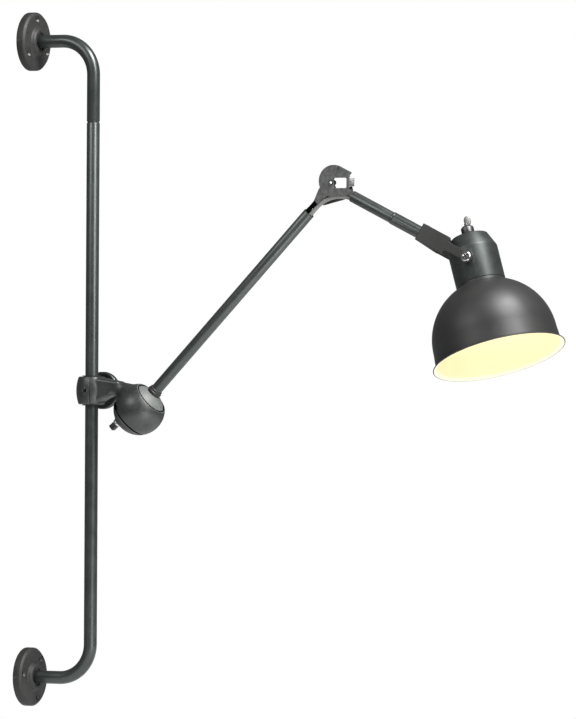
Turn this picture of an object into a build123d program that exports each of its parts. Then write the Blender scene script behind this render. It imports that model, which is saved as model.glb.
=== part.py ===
from build123d import *
import math
import os

os.makedirs("parts", exist_ok=True)

# Fits shared by all pieces
slip = 0.06
body_gap = 0.3
rub_gap = 0.1

# Wall rail
rail_od = 16.0
rail_wall = 1.5
rail_reach = 88.5
flange_pitch = 782.0
bend_radius = 42.0
joint_drop = 58.0
joint_collar_h = 1.8
joint_collar_d = 14.6
joiner_len = 56.0
tube_setback = 2.0

# Wall flanges
flange_d = 72.0
flange_t = 11.0
hub_d = 33.0
hub_h = 4.4
hub_recess_d = 22.0
hub_recess_depth = 1.6
bolt_circle_d = 55.0
bolt_count = 3
bolt_hole_d = 4.8
bolt_sink_d = 9.4
upper_bolt_angle = 93.0
lower_bolt_angle = 50.0
grub_d = 4.0
grub_rise = 0.6

# Slider clamp
clamp_height = 353.0
liner_t = 2.0
liner_lip_t = 1.0
liner_lip_over = 1.6
collar_h = 34.2
collar_mid_r = 19.0
collar_end_r = 16.0
jaw_split_x = 5.2
jaw_screw_bite = 4.0
seam_bevel = 1.3
jaw_screw_y = 13.4
jaw_screw_z = 8.5
jaw_screw_d = 4.0
jaw_head_d = 6.6
knob_d = 46.0
knob_t = 9.5
knob_face_y = 24.9
knob_boss_d = 20.0
stud_d = 8.0
side_hole_d = 5.0

# Ball joint
ball_out = 65.6
ball_drop = 22.7
housing_r = 31.5
housing_wall = 2.0
housing_rise = 40.0
lip_plane = 21.2
groove_plane = -14.5
groove_w = 1.5
ball_wall = 4.7
ball_boss_r = 10.5
ball_boss_z = 10.0
cap_spigot_t = 0.95
cap_spigot_len = 2.6
tension_offset = 6.4
tension_boss_r = 6.0
tension_boss_end = 32.4
tension_shank_d = 5.0
tension_head_w = 7.5
tension_head_len = 8.8
tension_washer_t = 2.6

# Arms
arm_od = 14.0
arm_wall = 1.25
lower_rise = 46.2
upper_fall = 26.2
lower_len = 376.5
upper_len = 211.0
pivot_rise = 3.0
ferrule_r = 9.0
ferrule_h = 5.6

# Elbow
plate_t = 3.4
far_plate_t = 2.6
bar_t = 4.8
eye_r = 3.6
nut_t = 1.4
skirt_drop = 3.0
skirt_t = 1.8
plate_gap = 0.4
head_r = 19.4
head_x = 2.8
head_z = 1.9
beak_tip = (26.3, 11.9)
strip_x0 = 20.4
strip_x1 = 23.4
window_x0 = 2.6
window_z0 = -6.7
window_z1 = 5.7
lower_tube_gap = 47.5
upper_tube_gap = 31.5
tongue_len = 15.0
tongue_side = 0.7
bar_step = 0.6
pivot_d = 3.6
pivot_bore_d = 1.8
pivot_head_d = 6.0
stop_h = 6.2
stop_w = 3.0
stop_len = 6.2
stop_flange_t = 1.8
stop_rise = 0.4
cable_d = 5.5
cable_side = 2.6
cable_bend_r = 45.0
cable_room = 0.55

# Fork
fork_swivel = 12.5
sleeve_od = 15.4
sleeve_start = 119.0
web_outer = 70.0
web_inner = 62.0
fork_wide = 22.0
fork_wide_end = 29.5
prong_w = 10.6
prong_end_r = 7.0
fork_plate_t = 4.0
swivel_ring_t = 3.5

# Lamp head
head_angle = 45.0
cap_r = 30.0
cap_wall = 2.0
cap_bottom = -27.0
cone_start = 15.0
cone_top = 33.0
cone_top_r = 22.0
pad_reach = 30.3
pivot_washer_t = 0.7
pad_r = 6.8
pad_root = 23.5
pivot_screw_d = 5.0
pivot_tip = 24.0
screw_washer_r = 7.8
screw_washer_t = 0.8
recess_l = 3.2
recess_w = 0.6
recess_deep = 1.6
dome_r = 75.0
dome_centre = -98.7
shade_t = 1.2
skirt_r = 76.4
rim_z = -120.7
rim_r = 80.8
lip_h = 3.2
shade_seat_h = 6.0
holder_r = 19.5
holder_shoulder_r = 22.5
holder_shoulder_h = 5.0
holder_bottom = -26.0
holder_bore_r = 13.9
holder_bore_top = 2.0
holder_neck_r = 14.0
holder_neck_h = 6.0
wire_hole_d = 6.4
shade_ring_r = 24.0
bulb_top = -26.5
base_r = 13.2
base_thread_z = -5.0
base_neck_r = 9.5
base_neck_z = -3.0
base_contact_r = 6.0
bulb_neck_r = 13.0
bulb_neck_end = -31.0
bulb_swell_r = 15.5
bulb_swell_z = -42.0
bulb_r = 22.5
bulb_end = -88.0
screw_head_r = 6.4
screw_head_h = 3.4
switch_bush_r = 5.0
switch_nut_r = 8.2
switch_nut_h = 4.4
switch_collar_r = 7.8
switch_collar_h = 9.4
switch_collar_bevel = 2.4
key_stem_r = 2.5
key_w = 8.8
key_t = 3.4
key_h = 12.0

# Values worked out from the sizes above
rail_r = rail_od / 2
joint_height = flange_pitch - bend_radius - joint_drop
rail_bore_r = rail_r - rail_wall
liner_in_r = rail_r + slip
liner_out_r = liner_in_r + liner_t
collar_bore_r = liner_out_r + slip
arm_r = arm_od / 2
arm_bore_r = arm_r - arm_wall
socket_r = housing_r - housing_wall
ball_r = socket_r - body_gap
cavity_r = ball_r - ball_wall
tongue_r = arm_bore_r - slip
half_gap = plate_gap / 2
plate_face = half_gap + plate_t
plate_in = pad_reach + pivot_washer_t + rub_gap
plate_out = plate_in + fork_plate_t


def turned(degrees):
    """Cosine and sine of an angle in degrees."""
    a = math.radians(degrees)
    return math.cos(a), math.sin(a)


c_low, s_low = turned(lower_rise)
c_up, s_up = turned(upper_fall)
c_house, s_house = turned(housing_rise)
low_dir = Vector(c_low, 0, s_low)
low_side = Vector(-s_low, 0, c_low)
house_dir = Vector(c_house, 0, s_house)
house_side = Vector(-s_house, 0, c_house)
up_dir = Vector(c_up, 0, -s_up)
up_side = Vector(s_up, 0, c_up)
near = Vector(0, -1, 0)

clamp_at = Vector(rail_reach, 0, clamp_height)
ball_at = clamp_at + Vector(ball_out, 0, -ball_drop)
axes_meet = ball_at + low_dir * lower_len
bend_share = 1 / (1 + low_side.dot(up_side))
elbow_at = axes_meet + (low_side + up_side) * (pivot_rise * bend_share)
head_at = axes_meet + up_dir * upper_len
low_foot = (elbow_at - ball_at).dot(low_dir)
up_foot = (elbow_at - axes_meet).dot(up_dir)

c_fork, s_fork = turned(fork_swivel)
pivot_dir = near * c_fork + up_side * s_fork
fork_up = pivot_dir.cross(up_dir)
c_head, s_head = turned(head_angle)
lamp_dir = up_dir * c_head - fork_up * s_head
lamp_up = lamp_dir * -1


def frame_at(origin, x_dir, z_dir):
    """Location of a local frame."""
    return Plane(origin=origin, x_dir=x_dir, z_dir=z_dir).location


low_arm = frame_at(ball_at, low_side, low_dir)
housing_frame = frame_at(ball_at, house_side, house_dir)
up_arm = frame_at(axes_meet, up_side, up_dir)
elbow = frame_at(elbow_at, (1, 0, 0), near)
fork_frame = frame_at(head_at, fork_up, up_dir)
lamp = frame_at(head_at, pivot_dir.cross(lamp_up), lamp_up)
clamp = Location(clamp_at)


def rod(r, z0, z1):
    """Solid cylinder on the local Z axis between two heights."""
    return Pos(0, 0, (z0 + z1) / 2) * Cylinder(r, abs(z1 - z0))


def pipe(r_out, r_in, z0, z1):
    """Hollow cylinder on the local Z axis."""
    return rod(r_out, z0, z1) - rod(r_in, z0 - 1, z1 + 1)


def block(x0, x1, y0, y1, z0, z1):
    """Box between three pairs of coordinates."""
    middle = Pos((x0 + x1) / 2, (y0 + y1) / 2, (z0 + z1) / 2)
    return middle * Box(x1 - x0, y1 - y0, z1 - z0)


def lathe(*edges):
    """Turn a closed outline in the XZ plane round the Z axis."""
    return revolve(Plane.XZ * make_face(edges), Axis.Z)


def lathe_points(points):
    """Turn a closed outline given by its corners round the Z axis."""
    return lathe(Polyline(*points, close=True))


def across(shape):
    """Lay a shape built on Z along the local Y axis."""
    return Rot(-90, 0, 0) * shape


def keep(node, shape):
    """Write one node."""
    export_step(shape, f"parts/{node}.step")


def flange(first_angle, height):
    """Wall flange: disc, hub, tube seat and countersunk screw holes."""
    top = flange_t + hub_h
    rim = flange_d / 2
    body = lathe_points([(0, 0), (rim, 0), (rim, flange_t - 2.5), (rim - 2.5, flange_t),
                         (hub_d / 2 + 2, flange_t), (hub_d / 2, flange_t + 2),
                         (hub_d / 2, top - 2), (hub_d / 2 - 2, top), (0, top)])
    body -= rod(rail_r + slip, -1, top + 1)
    body -= rod(hub_recess_d / 2, top - hub_recess_depth, top + 1)
    sink_r = bolt_sink_d / 2
    hole_r = bolt_hole_d / 2
    for i in range(bolt_count):
        spot = PolarLocations(bolt_circle_d / 2, 1, first_angle + i * 360 / bolt_count)
        sink = lathe_points([(0, flange_t + 1), (sink_r, flange_t + 1), (sink_r, flange_t - 0.4),
                             (hole_r, flange_t - 0.4 - (sink_r - hole_r)), (hole_r, -1), (0, -1)])
        body -= spot * sink
    screw_z = flange_t + grub_rise
    hole = Pos(0, 0, screw_z) * Rot(90, 0, 0) * rod(grub_d / 2 + slip, 0, hub_d)
    body -= hole
    return frame_at((0, 0, height), (0, 1, 0), (1, 0, 0)) * body


def flange_grub(height):
    """Grub screw under the hub that holds the tube."""
    screw = rod(grub_d / 2, rail_r + 0.02, hub_d / 2 - 1.5)
    screw -= extrude(Pos(0, 0, hub_d / 2 - 3.5) * RegularPolygon(1.1, 6), 3)
    lie = Pos(0, 0, flange_t + grub_rise) * Rot(90, 0, 0) * screw
    return frame_at((0, 0, height), (0, 1, 0), (1, 0, 0)) * lie


def bent_tube(end_z, corner_z):
    """Rail tube from the wall round one bend to the joint."""
    path = FilletPolyline((tube_setback, 0, corner_z), (rail_reach, 0, corner_z),
                          (rail_reach, 0, end_z), radius=bend_radius)
    start = Plane(origin=path @ 0, z_dir=path % 0)
    outer = sweep(start * Circle(rail_r), path)
    inner = sweep(start * Circle(rail_bore_r), path)
    return outer - inner


# Wall rail
keep("upper_flange", flange(upper_bolt_angle, flange_pitch))
keep("lower_flange", flange(lower_bolt_angle, 0))
keep("upper_grub_screw", flange_grub(flange_pitch))
keep("lower_grub_screw", flange_grub(0))
half_collar = joint_collar_h / 2
keep("rail_upper_tube", bent_tube(joint_height + half_collar, flange_pitch))
keep("rail_lower_tube", bent_tube(joint_height - half_collar, 0))
joiner = pipe(rail_bore_r - 0.02, rail_bore_r - 2, -joiner_len / 2, joiner_len / 2)
joiner += pipe(joint_collar_d / 2, rail_bore_r - 2, -half_collar, half_collar)
keep("rail_joiner", Pos(rail_reach, 0, joint_height) * joiner)

# Clamp liner with a lip at each end
half_h = collar_h / 2
lip_z = half_h + body_gap
liner = pipe(liner_out_r, liner_in_r, -lip_z - liner_lip_t, lip_z + liner_lip_t)
for z0 in (-lip_z - liner_lip_t, lip_z):
    liner += pipe(liner_out_r + liner_lip_over, liner_in_r, z0, z0 + liner_lip_t)
liner -= block(-liner_out_r - 3, 0, -0.6, 0.6, -half_h * 2, half_h * 2)
keep("clamp_liner", clamp * liner)

# Barrel that both jaws are cut from
barrel = lathe(Line((0, -half_h), (collar_end_r, -half_h)),
               ThreePointArc((collar_end_r, -half_h), (collar_mid_r, 0), (collar_end_r, half_h)),
               Line((collar_end_r, half_h), (0, half_h)),
               Line((0, half_h), (0, -half_h)))
barrel = fillet(barrel.edges().filter_by(GeomType.CIRCLE).filter_by(
    lambda e: abs(abs(e.center().Z) - half_h) < 0.01), 1.6)
bore = rod(collar_bore_r, -half_h - 5, half_h + 5)
reach = collar_mid_r + 30


def seam_cut(x_from, x_to):
    """V cut along the seam, left open where the jaws meet inside."""
    cut = block(x_from, x_to, -reach, reach, -reach, reach)
    inner_keep = lathe(Line((0, -reach), (collar_end_r - seam_bevel, -reach)),
                       Line((collar_end_r - seam_bevel, -reach), (collar_end_r - seam_bevel, -half_h)),
                       ThreePointArc((collar_end_r - seam_bevel, -half_h), (collar_mid_r - seam_bevel, 0),
                                     (collar_end_r - seam_bevel, half_h)),
                       Line((collar_end_r - seam_bevel, half_h), (collar_end_r - seam_bevel, reach)),
                       Line((collar_end_r - seam_bevel, reach), (0, reach)),
                       Line((0, reach), (0, -reach)))
    return cut - inner_keep


# Rear jaw
jaw = barrel & block(-reach, jaw_split_x, -reach, reach, -reach, reach)
boss_y = knob_face_y - 2 * body_gap
jaw += across(rod(knob_boss_d / 2, collar_mid_r - 6, boss_y)) & block(
    -reach, jaw_split_x, -reach, reach, -reach, reach)
jaw -= seam_cut(jaw_split_x - seam_bevel * 0.6, jaw_split_x + 1)
jaw -= bore
jaw -= across(rod(stud_d / 2 + slip, 0, reach))
jaw -= across(rod(side_hole_d / 2, -reach, 0))
jaw_spots = [(jaw_screw_y, up * jaw_screw_z) for up in (-1, 1)]
seat_x = -math.sqrt(collar_mid_r ** 2 - jaw_screw_y ** 2) * 0.42


def along_x(shape, y, z):
    """Lay a shape built on Z along X at a place on the clamp."""
    return Pos(0, y, z) * Rot(0, 90, 0) * shape


for y, z in jaw_spots:
    jaw -= along_x(rod(jaw_screw_d / 2, -reach, reach), y, z)
    jaw -= along_x(rod(jaw_head_d / 2 + 0.3, -reach, seat_x), y, z)
keep("clamp_rear_jaw", clamp * jaw)

jaw_screws = []
screw_tip = jaw_split_x + jaw_screw_bite
for y, z in jaw_spots:
    screw = rod(jaw_screw_d / 2, seat_x - 1, screw_tip)
    screw += rod(jaw_head_d / 2, seat_x - 3.2, seat_x)
    screw -= extrude(Pos(0, 0, seat_x - 3.3) * RegularPolygon(1.5, 6), 2)
    jaw_screws.append(along_x(screw, y, z))
keep("jaw_screws", clamp * Compound(children=jaw_screws))

grub = rod(side_hole_d / 2, -collar_mid_r + 3, -liner_out_r - body_gap)
grub -= extrude(Pos(0, 0, -collar_mid_r + 2.9) * RegularPolygon(1.5, 6), 2.2)
keep("liner_grub_screw", clamp * across(grub))

# Bracket: front jaw, neck and ball housing
front = barrel & block(jaw_split_x, reach, -reach, reach, -reach, reach)
front -= seam_cut(jaw_split_x - 1, jaw_split_x + seam_bevel * 0.6)


def neck_section(x, bottom, top, half_w, corner):
    """One upright section of the neck."""
    spot = Plane(origin=(x, 0, (bottom + top) / 2), x_dir=(0, 1, 0), z_dir=(1, 0, 0))
    return spot * RectangleRounded(half_w * 2, top - bottom, corner)


neck = loft([neck_section(10, -17.0, 16.6, 13.0, 5.0),
             neck_section(35, -5.8, 12.3, 10.5, 5.0),
             neck_section(58, -9.0, 8.0, 9.5, 5.0)])
to_ball = Location((ball_at - clamp_at)) * Location(Plane(origin=(0, 0, 0), x_dir=house_side, z_dir=house_dir))
housing = Sphere(housing_r) & rod(housing_r + 1, groove_plane, lip_plane)
lip_edge = math.sqrt(housing_r ** 2 - lip_plane ** 2)
housing -= lathe_points([(lip_edge - 0.9, lip_plane + 0.01), (lip_edge + 1, lip_plane + 0.01),
                         (lip_edge + 1, lip_plane - 1.2), (lip_edge + 0.6, lip_plane - 1.2)])
neck -= to_ball * rod(housing_r + 14, lip_plane, lip_plane + 40)
neck -= to_ball * rod(housing_r + 1.5, groove_plane, groove_plane - 40)
bracket = front + neck + to_ball * housing
bracket -= to_ball * Sphere(socket_r)
spigot_top = groove_plane + cap_spigot_len
bracket -= to_ball * (Sphere(socket_r + cap_spigot_t + 0.02)
                      & rod(housing_r, groove_plane - 1, spigot_top + 0.2))
bracket -= bore
for y, z in jaw_spots:
    bracket -= along_x(rod(jaw_screw_d / 2, -reach, screw_tip + 0.8), y, z)
keep("clamp_bracket", clamp * bracket)

# Clamp knob on the far side and its stud
knob_back = knob_face_y + knob_t
knob = lathe_points([(0, knob_face_y), (knob_d / 2 - 1.2, knob_face_y), (knob_d / 2, knob_face_y + 1.2),
                     (knob_d / 2, knob_back - 2), (knob_d / 2 - 2, knob_back),
                     (9, knob_back), (7, knob_back + 2), (0, knob_back + 2)])
knob -= pipe(knob_d / 2 - 5, knob_boss_d / 2 + 1, knob_face_y - 1, knob_face_y + 1.2)
knob -= rod(stud_d / 2 - 0.02, knob_face_y - 1, knob_back - 2)
for i in range(36):
    a = i * 10
    knob -= Rot(0, 0, a) * Pos(knob_d / 2 + 0.45, 0, 0) * rod(1.2, knob_face_y + 1.6, knob_back - 2.4)
keep("clamp_knob", clamp * across(knob))
keep("clamp_stud", clamp * across(rod(stud_d / 2 - 0.02, liner_out_r + body_gap, knob_back - 2)))

# Ball of the lower arm, in two halves
shell = Sphere(ball_r) - Sphere(cavity_r)
ball_boss = (rod(ball_boss_r, ball_boss_z, ball_r) & Sphere(ball_r - 0.5))
upper = (shell & rod(ball_r + 1, 0, ball_r + 1)) + ball_boss
upper -= rod(arm_r + slip, 0, ball_r + 1)
keep("ball_upper", low_arm * upper)
lower = shell & rod(ball_r + 1, -ball_r - 1, 0)
lower += pipe(cavity_r + 0.8, cavity_r - 3.0, -3, 0)
lower += pipe(cavity_r - 0.5, cavity_r - 3.0, -3, 4)
keep("ball_lower", low_arm * lower)

# Lower cap of the housing with the boss for the tension screw
cap_top = groove_plane - groove_w
tension_axis = Pos(tension_offset, 0, 0)
low_cap = Sphere(housing_r) & rod(housing_r + 1, -housing_r - 1, cap_top)
low_cap += tension_axis * rod(tension_boss_r, -tension_boss_end, -20)
low_cap += Sphere(socket_r + cap_spigot_t) & rod(housing_r + 1, cap_top - 1, spigot_top)
low_cap -= Sphere(socket_r)
low_cap -= tension_axis * rod(tension_shank_d / 2 + slip, -housing_r - 5, -15)
keep("ball_cap", housing_frame * low_cap)

washer_top = -tension_boss_end - rub_gap
washer_out = washer_top - tension_washer_t
keep("tension_washer", housing_frame * tension_axis * pipe(
    5.4, tension_shank_d / 2 + slip, washer_out, -tension_boss_end))
head_end = washer_out - rub_gap - tension_head_len
sq = tension_head_w / 2
tension = block(-sq, sq, -sq, sq, head_end, washer_out - rub_gap)
tension = chamfer(tension.faces().sort_by(Axis.Z)[0].edges(), 1.0)
tip_r = tension_offset - tension_shank_d / 2
tip_z = -math.sqrt(ball_r ** 2 - tip_r ** 2) - body_gap
tension += rod(tension_shank_d / 2, washer_out - 1, tip_z)
keep("tension_screw", housing_frame * tension_axis * tension)

# Lower arm tube, its ferrule and the ring that keeps it in the ball
low_tube_end = low_foot - lower_tube_gap
keep("lower_arm_tube", low_arm * pipe(arm_r, arm_bore_r, ball_boss_z - 6.5, low_tube_end))
keep("arm_retainer", low_arm * pipe(ball_boss_r - 0.5, arm_r, ball_boss_z - 5, ball_boss_z - body_gap))
ferrule_z = ball_r + body_gap
ferrule = lathe_points([(arm_r, ferrule_z), (ferrule_r, ferrule_z), (ferrule_r, ferrule_z + 2.2),
                        (ferrule_r - 0.9, ferrule_z + 2.6), (ferrule_r - 0.9, ferrule_z + ferrule_h - 0.6),
                        (ferrule_r - 1.5, ferrule_z + ferrule_h), (arm_r, ferrule_z + ferrule_h)])
keep("arm_ferrule", low_arm * ferrule)


# Elbow plates, drawn in the arm plane about the pivot
def low_point(along, side):
    """Place on the elbow from steps along and beside the lower arm."""
    return along * c_low - side * s_low, along * s_low + side * c_low


def up_point(along, side):
    """Place on the elbow from steps along and beside the upper arm."""
    return along * c_up + side * s_up, -along * s_up + side * c_up


cable_line = -pivot_rise - cable_side
meet = Vector(low_side.X + up_side.X, low_side.Z + up_side.Z, 0) * (cable_line * bend_share)
half_turn = math.radians(180 - lower_rise - upper_fall) / 2
bisector = Vector(low_side.X + up_side.X, low_side.Z + up_side.Z, 0).normalized() * -1
bend_centre = meet + bisector * (cable_bend_r / math.sin(half_turn))
cable_clear_r = cable_bend_r + cable_d / 2 + cable_room
under_cable = Pos(bend_centre.X, bend_centre.Y) * Circle(cable_clear_r)
cable_edge = cable_line + cable_d / 2 + cable_room
under_low = make_face(Polyline(low_point(-90, cable_edge), low_point(-20, cable_edge),
                               low_point(-20, -30), low_point(-90, -30), close=True))

head_disc = Pos(head_x, head_z) * Circle(head_r)
tangent = (head_x + head_r * s_up, head_z + head_r * c_up)
beak = make_face(Polyline((head_x, head_z), tangent, beak_tip, (beak_tip[0] - 2.7, beak_tip[1] - 3.1),
                          (strip_x1, beak_tip[1] - 4.4), (strip_x1, window_z0 - 1.0), (28.0, window_z0 - 3.0),
                          (27.2, window_z0 - 6.2), (head_x, -17), close=True))
tail = make_face(Polyline(low_point(0, 9), low_point(-17.1, 6.6), low_point(-32.0, 1.4),
                          low_point(-lower_tube_gap, 1.4), low_point(-lower_tube_gap, cable_edge),
                          low_point(-10, cable_edge - 6), close=True))
window_mid = Pos((window_x0 + strip_x0) / 2, (window_z0 + window_z1) / 2)
window = window_mid * RectangleRounded(strip_x0 - window_x0, window_z1 - window_z0, 1.6)
near_outline = head_disc + beak + tail - under_cable - under_low - window
near_plate = Pos(0, 0, half_gap) * extrude(near_outline, plate_t)
near_plate -= rod(pivot_d / 2, -20, 20)
low_tongue = (rod(tongue_r, low_tube_end - tongue_len, low_tube_end + 4)
              & block(tongue_side, arm_r, -arm_r, arm_r, low_tube_end - tongue_len, low_tube_end + 4))
keep("elbow_lower_knuckle", elbow * near_plate + low_arm * low_tongue)

web_x = 2.9
bar_top = window_z0 - 0.9
boss = Circle(eye_r)
bar_end = upper_tube_gap
bar_low = -pivot_rise + tongue_side
bar_high = -pivot_rise + tongue_r - bar_step
lever = make_face(Polyline((-eye_r, 0), (web_x, 0), (web_x, bar_top), (20.5, bar_top),
                           up_point(bar_end, bar_high), up_point(bar_end, bar_low), (18, -17),
                           (-3, -17), close=True))
far_outline = boss + lever - under_cable
far_plate = Pos(0, 0, -half_gap - far_plate_t) * extrude(far_outline, far_plate_t)
bar_zone = Pos(0, -eye_r - 0.8 - 30) * Rectangle(120, 60)
bar = (lever & bar_zone) - under_cable
far_plate += Pos(0, 0, -half_gap - bar_t) * extrude(bar, bar_t)
skirt_zone = Pos(0.5, -25) * Rectangle(28, 40)
skirt_ring = Circle(cable_clear_r + 2.5) - Circle(cable_bend_r - cable_d / 2 - skirt_drop)
skirt = (Pos(bend_centre.X, bend_centre.Y) * skirt_ring) & skirt_zone
far_plate += Pos(0, 0, -half_gap - bar_t) * extrude(skirt, skirt_t)
far_plate -= rod(pivot_d / 2 + slip, -20, 20)
up_tube_start = up_foot + upper_tube_gap
up_tongue = (rod(tongue_r, up_tube_start - 1, up_tube_start + tongue_len)
             & block(tongue_side, arm_r, -arm_r, arm_r, up_tube_start - 1, up_tube_start + tongue_len))
keep("elbow_upper_knuckle", elbow * far_plate + up_arm * up_tongue)

# Hollow pivot, nut, friction washer and bright stop screw
nut_face = -half_gap - far_plate_t - rub_gap
pivot = rod(pivot_d / 2, nut_face - nut_t, plate_face)
pivot += rod(pivot_head_d / 2, plate_face, plate_face + 1.0)
pivot -= rod(pivot_bore_d / 2, -20, 20)
keep("elbow_pivot", elbow * pivot)
nut = pipe(eye_r - 0.2, pivot_d / 2, nut_face - nut_t, nut_face)
keep("elbow_nut", elbow * nut)
keep("elbow_washer", elbow * pipe(eye_r - 0.2, pivot_d / 2, -half_gap + 0.08, half_gap))
stop_mid = half_gap + plate_t / 2
stop = block(strip_x1, strip_x1 + stop_flange_t, -stop_h, stop_h, stop_mid - stop_w / 2, stop_mid + stop_w / 2)
stop += block(strip_x1, strip_x1 + stop_len, 1 - stop_h, stop_h - 1, stop_mid - stop_w / 2, stop_mid + stop_w / 2)
stop = chamfer(stop.faces().sort_by(Axis.X)[-1].edges(), 0.6)
keep("elbow_stop_screw", elbow * Pos(0, stop_rise, 0) * stop)

# Flex between the two arm tubes
cable_in = low_point(-lower_tube_gap - 8, cable_line)
cable_out = up_point(upper_tube_gap + 10, cable_line)
cable_path = FilletPolyline((cable_in[0], cable_in[1], 0), (meet.X, meet.Y, 0),
                            (cable_out[0], cable_out[1], 0), radius=cable_bend_r)
cable = sweep(Plane(origin=cable_path @ 0, z_dir=cable_path % 0) * Circle(cable_d / 2), cable_path)
keep("elbow_cable", elbow * cable)

# Upper arm tube with the swivel ring and the nut that keeps the fork on
tube_tip = -web_inner - 0.4
shift = upper_len
keep("upper_arm_tube", up_arm * pipe(arm_r, arm_bore_r, up_tube_start, shift + tube_tip))
ring_end = -sleeve_start - body_gap
ring = lathe_points([(arm_r, ring_end - swivel_ring_t), (arm_r + 0.3, ring_end - swivel_ring_t),
                     (sleeve_od / 2, ring_end - swivel_ring_t + 1.4), (sleeve_od / 2, ring_end),
                     (arm_r, ring_end)])
keep("swivel_ring", fork_frame * ring)
nut_floor = -web_inner - 4.3
keep("fork_nut", fork_frame * pipe(9.4, arm_r, nut_floor + body_gap, -web_inner - 0.6))

# Fork
half_wide = fork_wide / 2
half_prong = prong_w / 2
yoke = block(-half_wide, half_wide, -plate_out, plate_out, -web_outer, -web_inner)
for side in (-1, 1):
    y0, y1 = sorted((side * plate_in, side * plate_out))
    yoke += block(-half_wide, half_wide, y0, y1, -web_outer, -fork_wide_end)
    yoke += block(-half_prong, half_prong, y0, y1, -fork_wide_end - 1, 0)
    yoke += across(rod(prong_end_r, y0, y1))
corners = yoke.edges().filter_by(Axis.X).filter_by(
    lambda e: abs(e.center().Z + web_outer) < 0.01)
yoke = fillet(corners, 3.0)
yoke += rod(sleeve_od / 2, -sleeve_start, -web_outer + 1)
yoke -= rod(arm_r + slip, -sleeve_start - 1, -web_inner + 1)
yoke -= rod(9.8, nut_floor, -web_inner + 1)
yoke -= across(rod(pivot_screw_d / 2 + slip, -plate_out - 1, plate_out + 1))
keep("fork", fork_frame * yoke)

# Lamp cap with side pads for the pivot
cap_out = [(0, cone_top), (cone_top_r, cone_top), (cap_r, cone_start), (cap_r, cap_bottom)]
in_r = cap_r - cap_wall
roof = cone_top - cap_wall
cap_in = [(in_r, cap_bottom), (in_r, cone_start - 0.5), (cone_top_r - 1.6, roof), (0, roof)]
cap = lathe_points(cap_out + cap_in)
round_at = [abs(cone_top), abs(cone_start)]
cap = fillet(cap.edges().filter_by(GeomType.CIRCLE).filter_by(
    lambda e: min(abs(e.center().Z - z) for z in round_at) < 0.01), 1.5)
for side in (-1, 1):
    y0, y1 = sorted((side * pad_root, side * pad_reach))
    cap += across(rod(pad_r, y0, y1))
cap -= across(rod(pivot_screw_d / 2, -plate_out, plate_out))
cap -= rod(switch_bush_r, cone_top - cap_wall - 1, cone_top + 1)
keep("lamp_cap", lamp * cap)

# Pivot screws and washers
under_head = plate_out + rub_gap + screw_washer_t


def pivot_screw():
    """Round-headed screw with a cross recess, along Y."""
    top = under_head + screw_head_h
    dome = lathe(Line((0, under_head), (screw_head_r, under_head)),
                 Line((screw_head_r, under_head), (screw_head_r, under_head + 1)),
                 ThreePointArc((screw_head_r, under_head + 1), (screw_head_r * 0.72, top - 0.9), (0, top)),
                 Line((0, top), (0, under_head)))
    screw = dome + rod(pivot_screw_d / 2, pivot_tip, under_head + 0.5)
    screw -= block(-recess_l, recess_l, -recess_w, recess_w, top - recess_deep, top + 1)
    screw -= block(-recess_w, recess_w, -recess_l, recess_l, top - recess_deep, top + 1)
    return screw


near_screw = across(pivot_screw())
keep("near_pivot_screw", lamp * near_screw)
keep("far_pivot_screw", lamp * (Rot(0, 0, 180) * near_screw))
pads = []
rims = []
for side in (0, 180):
    pads.append(Rot(0, 0, side) * across(pipe(pad_r, pivot_screw_d / 2, pad_reach, pad_reach + pivot_washer_t)))
    rims.append(Rot(0, 0, side) * across(pipe(screw_washer_r, pivot_screw_d / 2,
                                              plate_out + rub_gap, under_head)))
keep("pivot_washers", lamp * Compound(children=pads))
keep("screw_washers", lamp * Compound(children=rims))

# Shade: inner seat, dome, skirt and outward lip
seat_z = cap_bottom + shade_seat_h
collar_r = in_r - 0.02
dome_top_r = cap_r - 0.4


def dome_z(r, radius):
    """Height of the dome at a distance from its axis."""
    return dome_centre + math.sqrt(radius ** 2 - r ** 2)


def dome_mid(r0, r1, radius):
    """Point on the dome halfway between two distances."""
    a0 = math.acos(r0 / radius)
    a1 = math.acos(r1 / radius)
    a = (a0 + a1) / 2
    return radius * math.cos(a), dome_centre + radius * math.sin(a)


inner_r = dome_r - shade_t
top_in_r = dome_top_r - shade_t
outer_start = (dome_top_r, dome_z(dome_top_r, dome_r))
inner_start = (top_in_r, dome_z(top_in_r, inner_r))
lip_in = skirt_r + 1.2
shade = lathe(
    Polyline((holder_r + 0.3, seat_z), (collar_r, seat_z), (collar_r, cap_bottom - 0.05),
             (dome_top_r, cap_bottom - 0.05), outer_start),
    ThreePointArc(outer_start, dome_mid(dome_top_r, dome_r, dome_r), (dome_r, dome_centre)),
    Polyline((dome_r, dome_centre), (skirt_r, rim_z + lip_h), (rim_r, rim_z + 1.0), (rim_r, rim_z),
             (rim_r - 1.0, rim_z), (skirt_r - shade_t, rim_z + lip_h - 0.6), (inner_r, dome_centre)),
    ThreePointArc((inner_r, dome_centre), dome_mid(top_in_r, inner_r, inner_r), inner_start),
    Polyline(inner_start, (top_in_r - 0.4, seat_z - shade_t), (holder_r + 0.3, seat_z - shade_t),
             (holder_r + 0.3, seat_z)))
keep("shade", lamp * shade)

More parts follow.
